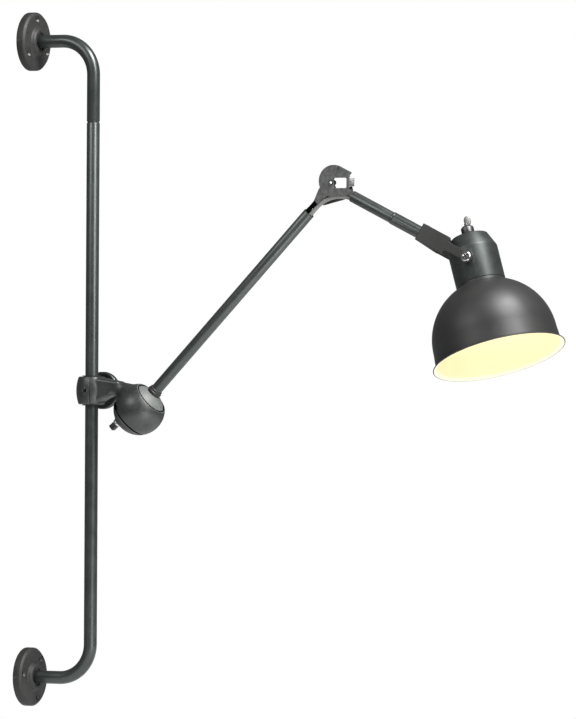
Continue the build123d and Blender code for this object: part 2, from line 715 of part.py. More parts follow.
# Lampholder, ring that holds the shade, and the bulb
holder_top = cone_top - cap_wall
neck_from = holder_top - holder_neck_h
holder = rod(holder_r, holder_bottom, neck_from) + rod(holder_neck_r, neck_from - 1, holder_top)
holder += rod(holder_shoulder_r, seat_z, seat_z + holder_shoulder_h)
holder -= rod(holder_bore_r, holder_bottom - 1, holder_bore_top)
holder -= rod(wire_hole_d / 2, holder_bore_top - 1, holder_top + 1)
keep("lampholder", lamp * holder)
keep("shade_ring", lamp * pipe(shade_ring_r, holder_r + 0.01, bulb_top, seat_z - shade_t))
base = lathe_points([(0, 0), (base_contact_r, 0), (base_neck_r, base_neck_z), (base_r, base_thread_z),
                     (base_r, bulb_top), (0, bulb_top)])
keep("bulb_base", lamp * base)
glass_mid = bulb_end + bulb_r
neck_z = glass_mid + math.sqrt(bulb_r ** 2 - (bulb_r * 0.86) ** 2)
glass = lathe(Line((0, bulb_top), (bulb_neck_r, bulb_top)),
              Line((bulb_neck_r, bulb_top), (bulb_neck_r, bulb_neck_end)),
              Spline((bulb_neck_r, bulb_neck_end), (bulb_swell_r, bulb_swell_z), (bulb_r * 0.86, neck_z),
                     tangents=[(0, -1), (0.51, -0.86)]),
              ThreePointArc((bulb_r * 0.86, neck_z), (bulb_r * 0.8, glass_mid - bulb_r * 0.6), (0, bulb_end)),
              Line((0, bulb_end), (0, bulb_top)))
keep("bulb_glass", lamp * glass)

# Rotary switch on the cap
nut_top = cone_top + switch_nut_h
collar_top = nut_top + switch_collar_h
keep("switch_nut", lamp * pipe(switch_nut_r, switch_bush_r, cone_top, nut_top))
bevel_r = switch_collar_r - switch_collar_bevel
collar = rod(switch_bush_r - 0.02, holder_top, nut_top) + lathe_points(
    [(0, nut_top), (switch_collar_r, nut_top), (switch_collar_r, collar_top - switch_collar_bevel),
     (bevel_r, collar_top), (0, collar_top)])
collar -= rod(key_stem_r + slip, holder_top + 2, collar_top + 1)
keep("switch_collar", lamp * collar)
key_base = collar_top + body_gap
key_turn = 24.0
leaf = Pos(0, key_base + key_h / 2) * Ellipse(key_w / 2, key_h / 2)
key = extrude(Plane.XZ * leaf, key_t / 2, both=True)
key = fillet(key.edges(), 1.2)
key += rod(key_stem_r, collar_top - switch_collar_h, key_base + 3)
keep("switch_key", lamp * Rot(0, 0, key_turn) * key)
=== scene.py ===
import math

import bmesh
import bpy
from mathutils import Matrix, Vector


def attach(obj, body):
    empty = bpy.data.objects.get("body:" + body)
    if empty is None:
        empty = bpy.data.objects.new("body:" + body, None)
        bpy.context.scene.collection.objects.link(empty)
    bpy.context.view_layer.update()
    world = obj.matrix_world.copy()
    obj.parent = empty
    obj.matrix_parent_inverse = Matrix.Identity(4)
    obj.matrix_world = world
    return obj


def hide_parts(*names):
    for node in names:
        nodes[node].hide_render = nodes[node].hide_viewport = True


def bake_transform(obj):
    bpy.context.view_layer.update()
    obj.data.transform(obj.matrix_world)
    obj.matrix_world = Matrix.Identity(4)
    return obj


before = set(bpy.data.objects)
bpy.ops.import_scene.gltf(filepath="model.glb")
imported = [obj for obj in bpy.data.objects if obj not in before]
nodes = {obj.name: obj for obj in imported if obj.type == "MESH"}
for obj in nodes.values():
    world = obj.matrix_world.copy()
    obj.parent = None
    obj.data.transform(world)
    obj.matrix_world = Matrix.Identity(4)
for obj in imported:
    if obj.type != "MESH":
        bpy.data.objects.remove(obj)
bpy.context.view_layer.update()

MM = 0.001
weld = 2e-6

# Sizes shared with the part, in millimetres
rail_r = 8.0
rail_wall = 1.5
rail_reach = 88.5
flange_pitch = 782.0
bend_r = 42.0
joint_z = 682.0
half_collar = 0.9
flange_r = 36.0
flange_t = 11.0
hub_r = 16.5
hub_h = 4.4
bolt_circle_r = 27.5
hole_r = 2.4
sink_r = 4.7
collar_h = 34.2
collar_mid_r = 19.0
collar_end_r = 16.0
collar_bore_r = 10.12
jaw_split = 5.2
housing_r = 31.5
socket_r = 29.5
ball_r = 29.2
lip_plane = 21.2
groove_plane = -14.5
spigot_len = 2.6
groove_w = 1.5
arm_r = 7.0
arm_wall = 1.25
plate_t = 3.4
far_plate_t = 2.6
bar_t = 4.8
half_gap = 0.2
upper_len = 211.0
pivot_rise = 3.0


def toward(degrees):
    """Direction in the arm plane at an angle above level."""
    a = math.radians(degrees)
    return Vector((math.cos(a), 0, math.sin(a)))


low_dir = toward(46.2)
low_side = toward(136.2)
up_dir = toward(-26.2)
up_side = toward(63.8)
near = Vector((0, -1, 0))
clamp_at = Vector((rail_reach, 0, 353.0))
ball_at = clamp_at + Vector((65.6, 0, -22.7))
axes_meet = ball_at + low_dir * 376.5
bend_share = 1 / (1 + low_side.dot(up_side))
elbow_at = axes_meet + (low_side + up_side) * (pivot_rise * bend_share)
head_at = axes_meet + up_dir * upper_len
low_foot = (elbow_at - ball_at).dot(low_dir)
up_foot = (elbow_at - axes_meet).dot(up_dir)
swivel = math.radians(12.5)
pivot_dir = near * math.cos(swivel) + up_side * math.sin(swivel)
fork_up = pivot_dir.cross(up_dir)
lamp_up = (fork_up - up_dir) * math.sqrt(0.5)


def seat(origin, x_dir, z_dir):
    """Matrix of a local frame, in metres."""
    z = z_dir.normalized()
    x = (x_dir - z * x_dir.dot(z)).normalized()
    y = z.cross(x)
    turn = Matrix((x, y, z)).transposed().to_4x4()
    return Matrix.Translation(origin * MM) @ turn


x_axis = Vector((1, 0, 0))
y_axis = Vector((0, 1, 0))
z_axis = Vector((0, 0, 1))
clamp = seat(clamp_at, x_axis, z_axis)
low_arm = seat(ball_at, low_side, low_dir)
house = seat(ball_at, toward(130.0), toward(40.0))
up_arm = seat(axes_meet, up_side, up_dir)
elbow = seat(elbow_at, x_axis, near)
fork_seat = seat(head_at, fork_up, up_dir)
lamp = seat(head_at, pivot_dir.cross(lamp_up), lamp_up)


def moved(x, y, z):
    """Matrix of a move in millimetres."""
    return Matrix.Translation(Vector((x, y, z)) * MM)


def rolled(degrees, axis):
    """Matrix of a turn about an axis."""
    return Matrix.Rotation(math.radians(degrees), 4, axis)


# Modelling steps
def only(piece=None):
    """Leave edit mode, deselect everything and pick one piece."""
    if bpy.context.object and bpy.context.object.mode != "OBJECT":
        bpy.ops.object.mode_set(mode="OBJECT")
    bpy.ops.object.select_all(action="DESELECT")
    if piece:
        piece.select_set(True)
        bpy.context.view_layer.objects.active = piece


def take_all():
    """Select all of the open piece."""
    bpy.ops.mesh.select_all(action="SELECT")


def opened(name):
    """Name the primitive just added and open it with all selected."""
    piece = bpy.context.object
    piece.name = name
    piece.data.name = name
    bpy.ops.object.mode_set(mode="EDIT")
    bpy.ops.mesh.select_mode(type="VERT")
    take_all()
    return piece


def reopen(piece):
    """Open a piece again with nothing selected."""
    only(piece)
    bpy.ops.object.mode_set(mode="EDIT")
    bpy.ops.mesh.select_all(action="DESELECT")


def closed():
    """Back to object mode."""
    bpy.ops.object.mode_set(mode="OBJECT")


def pick(piece, kind, test):
    """Select points, edges or faces of the open piece by their middle and normal."""
    bpy.ops.mesh.select_mode(type=kind)
    bpy.ops.mesh.select_all(action="DESELECT")
    work = bmesh.from_edit_mesh(piece.data)
    work.normal_update()
    if kind == "FACE":
        for f in work.faces:
            f.select_set(test(f.calc_center_median() / MM, f.normal))
    elif kind == "EDGE":
        for e in work.edges:
            a, b = e.verts[0].co, e.verts[1].co
            e.select_set(test((a + b) / (2 * MM), (b - a).normalized()))
    else:
        for v in work.verts:
            v.select_set(test(v.co / MM, v.normal))
    bmesh.update_edit_mesh(piece.data)


def pull(x, y, z):
    """Extrude the selection by a step in millimetres."""
    bpy.ops.mesh.extrude_region_move(TRANSFORM_OT_translate={"value": Vector((x, y, z)) * MM})


def chain(name, points):
    """Pull one point out into a chain of edges."""
    only()
    bpy.ops.mesh.primitive_plane_add(size=MM)
    piece = opened(name)
    bpy.ops.mesh.merge(type="CENTER")
    bpy.ops.transform.translate(value=Vector(points[0]) * MM)
    for a, b in zip(points, points[1:]):
        pull(*(Vector(b) - Vector(a)))
    take_all()
    return piece


def tidy_skin():
    """Merge doubles of the open piece and point its faces outwards."""
    take_all()
    bpy.ops.mesh.remove_doubles(threshold=weld)
    bpy.ops.mesh.normals_make_consistent(inside=False)


def turned(name, outline, steps=96):
    """Spin an outline of radius and height round the local Z axis."""
    piece = chain(name, [(r, 0, z) for r, z in outline])
    bpy.ops.mesh.spin(steps=steps, angle=2 * math.pi, center=(0, 0, 0), axis=(0, 0, 1))
    tidy_skin()
    closed()
    return piece


def hoop(name, r_in, r_out, low, high, steps):
    """Square-edged ring round the local Z axis."""
    return turned(name, [(r_in, low), (r_out, low), (r_out, high), (r_in, high), (r_in, low)], steps)


def fluted(piece, r, step, every, shrink, low=-1000, high=1000):
    """Press grip flutes into the outer skin of a turned piece."""
    reopen(piece)
    pick(piece, "VERT", lambda c, n: c.xy.length > r - 0.1 and low < c.z < high
         and round(math.degrees(math.atan2(c.y, c.x)) / step) % every == 0)
    bpy.ops.transform.resize(value=(shrink, shrink, 1), center_override=(0, 0, 0))
    closed()


def slab(name, outline, low, high):
    """Fill a closed outline and pull it to a thickness along Z."""
    ring = [(x, y, low) for x, y in outline]
    piece = chain(name, ring + ring[:1])
    bpy.ops.mesh.remove_doubles(threshold=weld)
    take_all()
    bpy.ops.mesh.edge_face_add()
    pull(0, 0, high - low)
    tidy_skin()
    closed()
    return piece


def rod(name, r, low, high, steps=48):
    """Solid rod on the local Z axis."""
    only()
    bpy.ops.mesh.primitive_cylinder_add(vertices=steps, radius=r * MM, depth=(high - low) * MM,
                                        location=(0, 0, (low + high) / 2 * MM))
    piece = opened(name)
    closed()
    only(piece)
    bpy.ops.object.transform_apply(location=True, rotation=True, scale=True)
    return piece


def block(name, x0, x1, y0, y1, z0, z1):
    """Box between three pairs of sizes."""
    only()
    middle = ((x0 + x1) / 2 * MM, (y0 + y1) / 2 * MM, (z0 + z1) / 2 * MM)
    bpy.ops.mesh.primitive_cube_add(size=1, location=middle)
    piece = opened(name)
    closed()
    piece.scale = ((x1 - x0) * MM, (y1 - y0) * MM, (z1 - z0) * MM)
    only(piece)
    bpy.ops.object.transform_apply(location=True, rotation=True, scale=True)
    return piece


def place(piece, matrix):
    """Carry a piece to its seat and set the place in its mesh."""
    only(piece)
    piece.matrix_world = matrix
    bpy.ops.object.transform_apply(location=True, rotation=True, scale=True)
    return piece


def modify(piece, kind, **values):
    """Add a modifier with its values and apply it."""
    only(piece)
    step = piece.modifiers.new(kind.lower(), kind)
    for key, value in values.items():
        setattr(step, key, value)
    bpy.ops.object.modifier_apply(modifier=step.name)
    return piece


def bool_step(piece, tools, operation):
    """Join or cut with tool pieces, which are used up."""
    for tool in tools:
        modify(piece, "BOOLEAN", operation=operation, solver="EXACT", object=tool)
        bpy.data.objects.remove(tool)
    return piece


def join(piece, *tools):
    """Join pieces into one skin."""
    return bool_step(piece, tools, "UNION")


def cut(piece, *tools):
    """Cut tool pieces out of a piece."""
    return bool_step(piece, tools, "DIFFERENCE")


def flat_faces(piece):
    """Dissolve the edges that cross flat faces."""
    reopen(piece)
    take_all()
    bpy.ops.mesh.remove_doubles(threshold=weld)
    bpy.ops.mesh.dissolve_limited(angle_limit=math.radians(0.5))
    closed()
    return piece


def round_edges(piece, width, segments=3, angle=32):
    """Break every sharp edge with a small round."""
    return modify(piece, "BEVEL", width=width * MM, segments=segments, limit_method="ANGLE",
                  angle_limit=math.radians(angle), miter_outer="MITER_ARC")


def soft_shade(piece, angle=38):
    """Smooth shading that keeps the sharp corners."""
    only(piece)
    bpy.ops.object.shade_smooth_by_angle(angle=math.radians(angle))
    return piece


def arc(cx, cy, r, a0, a1, steps):
    """Points along a circle between two angles in degrees."""
    points = []
    for i in range(steps + 1):
        a = math.radians(a0 + (a1 - a0) * i / steps)
        points.append((cx + r * math.cos(a), cy + r * math.sin(a)))
    return points


def eased(points, r, steps=5):
    """Round each corner of a closed outline."""
    out = []
    count = len(points)
    for i in range(count):
        a = Vector(points[i - 1]).to_2d()
        b = Vector(points[i]).to_2d()
        c = Vector(points[(i + 1) % count]).to_2d()
        u = (a - b).normalized()
        v = (c - b).normalized()
        half = u.angle(v) / 2
        run = min(r / math.tan(half), 0.45 * min((a - b).length, (c - b).length))
        radius = run * math.tan(half)
        middle = b + (u + v).normalized() * (radius / math.sin(half))
        first = b + u * run - middle
        last = b + v * run - middle
        sweep = first.angle_signed(last)
        for k in range(steps + 1):
            spoke = first.copy()
            spoke.rotate(Matrix.Rotation(-sweep * k / steps, 2))
            out.append(tuple(middle + spoke))
    return out


def box_outline(x0, x1, y0, y1, r):
    """Rectangle with rounded corners."""
    return eased([(x0, y0), (x1, y0), (x1, y1), (x0, y1)], r)


def paint_faces(piece, index, test):
    """Give the faces that pass a test another of the open piece's finishes."""
    pick(piece, "FACE", test)
    piece.active_material_index = index
    bpy.ops.object.material_slot_assign()


def two_tone(piece, main, other, test):
    """Give a piece its main finish, and another one on the faces that pass a test."""
    piece.data.materials.clear()
    piece.data.materials.append(main)
    piece.data.materials.append(other)
    reopen(piece)
    paint_faces(piece, 1, test)
    closed()


def dressed(piece, body, node, finish=None):
    """Give a piece its finish, unless it has one, its body and the node that it stands for."""
    if finish:
        piece.data.materials.clear()
        piece.data.materials.append(finish)
    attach(piece, body)
    if node:
        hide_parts(node)
    return piece


def fitted(piece, matrix, body, node, finish=None, angle=38):
    """Shade a piece, carry it to its seat and dress it."""
    place(soft_shade(piece, angle), matrix)
    return dressed(piece, body, node, finish)


# Shared surface effects
def group_of(name, inputs, outputs):
    """New shader group with named value sockets."""
    tree = bpy.data.node_groups.new(name, "ShaderNodeTree")
    for label, value in inputs:
        socket = tree.interface.new_socket(label, in_out="INPUT", socket_type="NodeSocketFloat")
        socket.default_value = value
    for label in outputs:
        tree.interface.new_socket(label, in_out="OUTPUT", socket_type="NodeSocketFloat")
    first = tree.nodes.new("NodeGroupInput")
    last = tree.nodes.new("NodeGroupOutput")
    return tree, first, last


def add(tree, kind, **values):
    """New node with its values set."""
    node = tree.nodes.new(kind)
    for key, value in values.items():
        setattr(node, key, value)
    return node


def powder_group():
    """Powder coat: a fine peel, broader waves and a faint mottling."""
    tree, first, last = group_of("powder_coat", [("Peel Scale", 900.0), ("Mottle Scale", 60.0)],
                                 ["Height", "Mottle", "Dust"])
    place_at = add(tree, "ShaderNodeTexCoord")
    peel = add(tree, "ShaderNodeTexNoise")
    peel.inputs["Detail"].default_value = 3.0
    peel.inputs["Roughness"].default_value = 0.55
    mottle = add(tree, "ShaderNodeTexNoise")
    mottle.inputs["Detail"].default_value = 5.0
    mottle.inputs["Roughness"].default_value = 0.6
    dust = add(tree, "ShaderNodeTexNoise")
    dust.inputs["Scale"].default_value = 2600.0
    dust.inputs["Detail"].default_value = 1.0
    speck = add(tree, "ShaderNodeMapRange")
    speck.inputs["From Min"].default_value = 0.62
    speck.inputs["From Max"].default_value = 0.8
    link = tree.links.new
    for noise in (peel, mottle, dust):
        link(place_at.outputs["Object"], noise.inputs["Vector"])
    link(first.outputs["Peel Scale"], peel.inputs["Scale"])
    link(first.outputs["Mottle Scale"], mottle.inputs["Scale"])
    link(dust.outputs["Fac"], speck.inputs["Value"])
    link(peel.outputs["Fac"], last.inputs["Height"])
    link(mottle.outputs["Fac"], last.inputs["Mottle"])
    link(speck.outputs["Result"], last.inputs["Dust"])
    return tree


def edge_wear_and_sheen_group():
    """Mask of sharp edges, from the sharpness of the surface, lightened partly as worn paint and partly as a
    painted edge highlight.
    """
    tree, first, last = group_of("edge_wear_and_sheen_mask", [("Low", 0.53), ("High", 0.62), ("Break Scale", 220.0)],
                                 ["Edge"])
    shape = add(tree, "ShaderNodeNewGeometry")
    ramp = add(tree, "ShaderNodeMapRange")
    breaks = add(tree, "ShaderNodeTexNoise")
    breaks.inputs["Detail"].default_value = 4.0
    place_at = add(tree, "ShaderNodeTexCoord")
    both = add(tree, "ShaderNodeMath", operation="MULTIPLY")
    link = tree.links.new
    link(shape.outputs["Pointiness"], ramp.inputs["Value"])
    link(first.outputs["Low"], ramp.inputs["From Min"])
    link(first.outputs["High"], ramp.inputs["From Max"])
    link(place_at.outputs["Object"], breaks.inputs["Vector"])
    link(first.outputs["Break Scale"], breaks.inputs["Scale"])
    link(ramp.outputs["Result"], both.inputs[0])
    link(breaks.outputs["Fac"], both.inputs[1])
    link(both.outputs["Value"], last.inputs["Edge"])
    return tree


powder = powder_group()
edge_wear_and_sheen = edge_wear_and_sheen_group()


def new_material(name):
    """Empty node material with its shader and output."""
    material = bpy.data.materials.new(name)
    material.use_nodes = True
    tree = material.node_tree
    shader = tree.nodes["Principled BSDF"]
    return material, tree, shader


def use_group(tree, group, **values):
    """Place a shared group in a material with its own values."""
    node = tree.nodes.new("ShaderNodeGroup")
    node.node_tree = group
    for key, value in values.items():
        node.inputs[key.replace("_", " ")].default_value = value
    return node


def blend_colour(tree, mask, low, high):
    """Colour between two ends by a mask socket."""
    mix = tree.nodes.new("ShaderNodeMix")
    mix.data_type = "RGBA"
    mix.inputs["A"].default_value = (*low, 1)
    mix.inputs["B"].default_value = (*high, 1)
    tree.links.new(mask, mix.inputs["Factor"])
    return mix.outputs["Result"]


def span(tree, value, low, high, start=0.0, end=1.0):
    """Map a mask socket to a range of values."""
    node = tree.nodes.new("ShaderNodeMapRange")
    node.inputs["From Min"].default_value = start
    node.inputs["From Max"].default_value = end
    node.inputs["To Min"].default_value = low
    node.inputs["To Max"].default_value = high
    tree.links.new(value, node.inputs["Value"])
    return node.outputs["Result"]


def raise_grain(tree, shader, grain, strength, distance):
    """Let the fine grain of a surface catch the light."""
    relief = tree.nodes.new("ShaderNodeBump")
    relief.inputs["Strength"].default_value = strength
    relief.inputs["Distance"].default_value = distance
    tree.links.new(grain.outputs["Height"], relief.inputs["Height"])
    tree.links.new(relief.outputs["Normal"], shader.inputs["Normal"])


def coat(name, dark, light, rough, peel_scale, bump, mottle_scale=60.0, edge=(0.16, 0.165, 0.16), spec=0.5,
         tint=(1.0, 1.0, 1.0)):
    """Painted metal with a powder coat; sharp edges lighter, partly worn paint and partly a painted edge
    highlight.
    """
    material, tree, shader = new_material(name)
    grain = use_group(tree, powder, Peel_Scale=peel_scale, Mottle_Scale=mottle_scale)
    wear_and_sheen = use_group(tree, edge_wear_and_sheen)
    ground = blend_colour(tree, span(tree, grain.outputs["Mottle"], 0, 1, 0.3, 0.7), dark, light)
    # Lighter sharp edges: partly worn paint, partly a painted edge highlight
    mix = tree.nodes.new("ShaderNodeMix")
    mix.data_type = "RGBA"
    mix.inputs["B"].default_value = (*edge, 1)
    tree.links.new(ground, mix.inputs["A"])
    tree.links.new(wear_and_sheen.outputs["Edge"], mix.inputs["Factor"])
    tree.links.new(mix.outputs["Result"], shader.inputs["Base Color"])
    tree.links.new(span(tree, grain.outputs["Mottle"], rough - 0.05, rough + 0.06, 0.3, 0.7),
                   shader.inputs["Roughness"])
    raise_grain(tree, shader, grain, bump, 0.0002)
    shader.inputs["Specular IOR Level"].default_value = spec
    shader.inputs["Specular Tint"].default_value = (*tint, 1)
    return material


def bright_metal(name, colour, rough, scratch_scale, bump):
    """Plated or bare metal with fine handling marks."""
    material, tree, shader = new_material(name)
    grain = use_group(tree, powder, Peel_Scale=scratch_scale, Mottle_Scale=140.0)
    low = tuple(c * 0.86 for c in colour)
    tree.links.new(blend_colour(tree, span(tree, grain.outputs["Mottle"], 0, 1, 0.3, 0.7), low, colour),
                   shader.inputs["Base Color"])
    tree.links.new(span(tree, grain.outputs["Mottle"], rough * 0.7, rough * 1.35, 0.3, 0.7),
                   shader.inputs["Roughness"])
    raise_grain(tree, shader, grain, bump, 0.0001)
    shader.inputs["Metallic"].default_value = 1.0
    return material


def moulded(name, dark, light, rough, grain_scale, bump):
    """Moulded plastic or rubber with a fine grain."""
    material, tree, shader = new_material(name)
    grain = use_group(tree, powder, Peel_Scale=grain_scale, Mottle_Scale=90.0)
    tree.links.new(blend_colour(tree, grain.outputs["Mottle"], dark, light), shader.inputs["Base Color"])
    tree.links.new(span(tree, grain.outputs["Mottle"], rough - 0.06, rough + 0.08, 0.3, 0.7),
                   shader.inputs["Roughness"])
    raise_grain(tree, shader, grain, bump, 0.0002)
    return material


def glowing(name, colour, glow, strength, rough):
    """Glowing surface with a faint unevenness: a painted glow on the shade's enamel, the lamp's own light on
    the bulb glass.
    """
    material, tree, shader = new_material(name)
    grain = use_group(tree, powder, Peel_Scale=500.0, Mottle_Scale=35.0)
    low = tuple(c * 0.97 for c in colour)
    tree.links.new(blend_colour(tree, grain.outputs["Mottle"], low, colour), shader.inputs["Base Color"])
    warm = tuple(c * 0.96 for c in glow)
    tree.links.new(blend_colour(tree, grain.outputs["Mottle"], warm, glow), shader.inputs["Emission Color"])
    shader.inputs["Emission Strength"].default_value = strength
    tree.links.new(span(tree, grain.outputs["Mottle"], rough - 0.05, rough + 0.05, 0.3, 0.7),
                   shader.inputs["Roughness"])
    return material


tube_coat = coat("tube_coat", (0.015, 0.018, 0.017), (0.023, 0.026, 0.025), 0.33, 1100.0, 0.05, spec=0.9,
                 tint=(0.92, 1.0, 0.97))
cast_coat = coat("cast_coat", (0.01, 0.011, 0.0105), (0.022, 0.024, 0.023), 0.4, 620.0, 0.25, 240.0,
                 spec=0.9)
flange_coat = coat("flange_coat", (0.014, 0.014, 0.0135), (0.03, 0.029, 0.028), 0.58, 620.0, 0.25, 240.0)
plate_coat = coat("plate_coat", (0.01, 0.01, 0.0093), (0.016, 0.016, 0.015), 0.55, 900.0, 0.2)
cap_coat = coat("cap_coat", (0.012, 0.014, 0.013), (0.02, 0.023, 0.022), 0.44, 1100.0, 0.1, 90.0, spec=0.6,
                tint=(0.92, 1.0, 0.97))
shade_coat = coat("shade_coat", (0.016, 0.017, 0.016), (0.021, 0.021, 0.02), 0.46, 1000.0, 0.08, 25.0)
ball_coat = coat("ball_coat", (0.09, 0.098, 0.094), (0.21, 0.22, 0.21), 0.5, 520.0, 0.5, 700.0)
# Black steel for screws and nuts, also laid as painted shade in the flange holes and the pivot screws' cross
# recesses
black_steel_and_painted_shade = coat("black_steel_and_painted_shade", (0.012, 0.012, 0.012), (0.02, 0.02, 0.02), 0.4, 900.0, 0.15)
# Near-black painted shade, laid where shade falls: the gaps round the ball, the groove and the elbow plate's
# tail
painted_shade = coat("painted_shade", (0.002, 0.002, 0.002), (0.003, 0.003, 0.003), 0.9, 900.0, 0.1,
                edge=(0.003, 0.003, 0.003), spec=0.0)
knob_plastic = moulded("knob_plastic", (0.006, 0.006, 0.006), (0.016, 0.016, 0.015), 0.55, 900.0, 0.5)
liner_plastic = moulded("liner_plastic", (0.02, 0.02, 0.02), (0.032, 0.032, 0.031), 0.5, 900.0, 0.2)
holder_plastic = moulded("holder_plastic", (0.02, 0.02, 0.02), (0.03, 0.03, 0.029), 0.45, 800.0, 0.2)
flex_sheath = moulded("flex_sheath", (0.19, 0.19, 0.182), (0.25, 0.25, 0.24), 0.4, 700.0, 0.15)
zinc_plate = bright_metal("zinc_plate", (0.66, 0.66, 0.64), 0.34, 900.0, 0.15)
# Near-white for the elbow pin's centre: a painted highlight
pin_painted_glint = moulded("pin_painted_glint", (0.84, 0.84, 0.82), (0.9, 0.9, 0.88), 0.4, 900.0, 0.05)
dull_metal = bright_metal("dull_metal", (0.13, 0.13, 0.128), 0.4, 700.0, 0.12)
chrome_plate = bright_metal("chrome_plate", (0.46, 0.45, 0.45), 0.24, 900.0, 0.03)
cap_metal = bright_metal("cap_metal", (0.72, 0.71, 0.68), 0.35, 900.0, 0.1)
# Enamel of the shade's inside, tinted and glowing warm: painted light from the bulb
enamel_with_painted_glow = glowing("enamel_with_painted_glow", (0.78, 0.72, 0.5), (1.0, 0.89, 0.6), 0.265, 0.4)
lit_glass = glowing("lit_glass", (0.95, 0.92, 0.8), (1.0, 0.94, 0.72), 0.8, 0.25)

node_finish = {}
for finish, names in (
        (tube_coat, "rail_upper_tube rail_lower_tube lower_arm_tube upper_arm_tube"),
        (cap_coat, "lamp_cap"),
        (shade_coat, "shade"),
        (plate_coat, "elbow_lower_knuckle elbow_upper_knuckle fork"),
        (flange_coat, "upper_flange lower_flange"),
        (cast_coat, "clamp_rear_jaw clamp_bracket ball_cap"),
        (ball_coat, "ball_upper ball_lower"),
        (black_steel_and_painted_shade, "rail_joiner arm_ferrule arm_retainer swivel_ring fork_nut jaw_screws liner_grub_screw "
                      "upper_grub_screw lower_grub_screw tension_screw elbow_nut switch_nut"),
        (zinc_plate, "elbow_stop_screw tension_washer elbow_pivot clamp_stud"),
        (dull_metal, "switch_collar switch_key"),
        (chrome_plate, "near_pivot_screw far_pivot_screw"),
        (knob_plastic, "clamp_knob"),
        (holder_plastic, "screw_washers lampholder shade_ring"),
        (liner_plastic, "clamp_liner elbow_washer pivot_washers"),
        (flex_sheath, "elbow_cable"),
        (cap_metal, "bulb_base"),
        (lit_glass, "bulb_glass")):
    for name in names.split():
        node_finish[name] = finish
for name, piece in nodes.items():
    piece.data.materials.clear()
    piece.data.materials.append(node_finish[name])


# Wall flanges and the bent rail
def wall_flange(name, height, first_angle):
    """Cast wall flange with hub, tube seat and countersunk screw holes."""
    top = flange_t + hub_h
    piece = turned(name, [(8.15, 0), (flange_r, 0), (flange_r, flange_t - 2.5), (flange_r - 2.5, flange_t),
                          (hub_r + 2, flange_t), (hub_r, flange_t + 2), (hub_r, top - 2), (hub_r - 2, top),
                          (11, top), (11, top - 1.6), (8.15, top - 1.6), (8.15, 0)])
    round_edges(piece, 0.9, 3, 25)
    for i in range(3):
        sink = turned("sink", [(0, flange_t + 2), (sink_r, flange_t + 2), (sink_r, flange_t - 0.4),
                               (hole_r, flange_t - 2.7), (hole_r, -1), (0, -1)], 32)
        a = math.radians(first_angle + 120 * i)
        place(sink, moved(bolt_circle_r * math.cos(a), bolt_circle_r * math.sin(a), 0))
        cut(piece, sink)
    # Painted shade: the countersunk holes are painted near-black
    two_tone(piece, flange_coat, black_steel_and_painted_shade, lambda c, n: abs(c.xy.length - bolt_circle_r) < sink_r + 0.1
             and 0.2 < c.z < flange_t - 0.1)
    soft_shade(piece)
    place(piece, seat(Vector((0, 0, height)), y_axis, x_axis))
    return dressed(piece, "rail", name.replace("_casting", ""))


wall_flange("upper_flange_casting", flange_pitch, 93.0)
wall_flange("lower_flange_casting", 0, 50.0)


def rail_tube(name, corner_z, side, end_z):
    """Rail tube from the wall round its bend to the joint."""
    only()
    bpy.ops.mesh.primitive_circle_add(vertices=64, radius=rail_r * MM, rotation=(0, math.pi / 2, 0),
                                      location=(2 * MM, 0, corner_z * MM))
    piece = opened(name)
    bend_x = rail_reach - bend_r
    bend_z = corner_z + side * bend_r
    pull(bend_x - 2, 0, 0)
    bpy.ops.mesh.spin(steps=32, angle=math.pi / 2, center=(bend_x * MM, 0, bend_z * MM), axis=(0, side, 0))
    pull(0, 0, end_z - bend_z)
    tidy_skin()
    closed()
    place(piece, piece.matrix_world.copy())
    modify(piece, "SOLIDIFY", thickness=rail_wall * MM, offset=-1)
    round_edges(piece, 0.5, 2, 50)
    soft_shade(piece)
    return dressed(piece, "rail", name.replace("_pipe", "_tube"), tube_coat)


rail_tube("rail_upper_pipe", flange_pitch, -1, joint_z + half_collar)
rail_tube("rail_lower_pipe", 0, 1, joint_z - half_collar)


# Clamp on the rail
def barrel(name, bore):
    """Bulged collar that both jaws are cut from."""
    half = collar_h / 2
    rise = collar_mid_r - collar_end_r
    bulge = (half ** 2 + rise ** 2) / (2 * rise)
    spread = math.degrees(math.asin(half / bulge))
    side = arc(collar_mid_r - bulge, 0, bulge, -spread, spread, 16)
    piece = turned(name, [(bore, -half)] + side + [(bore, half), (bore, -half)])
    return round_edges(piece, 1.5, 4, 45)


def across(piece):
    """Lay a piece built on Z along Y."""
    return place(piece, rolled(-90, "X"))


def split(piece, x, keep_back):
    """Keep the part of a piece behind or in front of an upright plane."""
    reopen(piece)
    take_all()
    bpy.ops.mesh.bisect(plane_co=(x * MM, 0, 0), plane_no=(1, 0, 0), use_fill=True,
                        clear_outer=keep_back, clear_inner=not keep_back)
    pick(piece, "EDGE", lambda c, d: abs(c.x - x) < 0.01)
    bpy.ops.mesh.bevel(offset=0.8 * MM, segments=2, affect="EDGES")
    closed()
    return piece


jaw = barrel("rear_jaw_casting", collar_bore_r)
join(jaw, across(rod("boss", 10, 12, 24.3)))
split(jaw, jaw_split, True)
side_hole = across(rod("side_hole", 2.5, -30, -5))
cut(jaw, side_hole)
for z in (-8.5, 8.5):
    head_seat = rod("head_seat", 3.6, -40, -5.66)
    place(head_seat, moved(0, 13.4, z) @ rolled(90, "Y"))
    cut(jaw, head_seat)
soft_shade(jaw)
place(jaw, clamp)
dressed(jaw, "bracket", "clamp_rear_jaw", cast_coat)

sections = ((10.0, -17.0, 16.6, 13.0), (35.0, -5.8, 12.3, 10.5), (58.0, -9.0, 8.0, 9.5))


def between(x, k):
    """Value of the neck's section at a place, on a curve through the three given ones."""
    total = 0
    for i, one in enumerate(sections):
        part = one[k]
        for j, other in enumerate(sections):
            if i != j:
                part *= (x - other[0]) / (one[0] - other[0])
        total += part
    return total


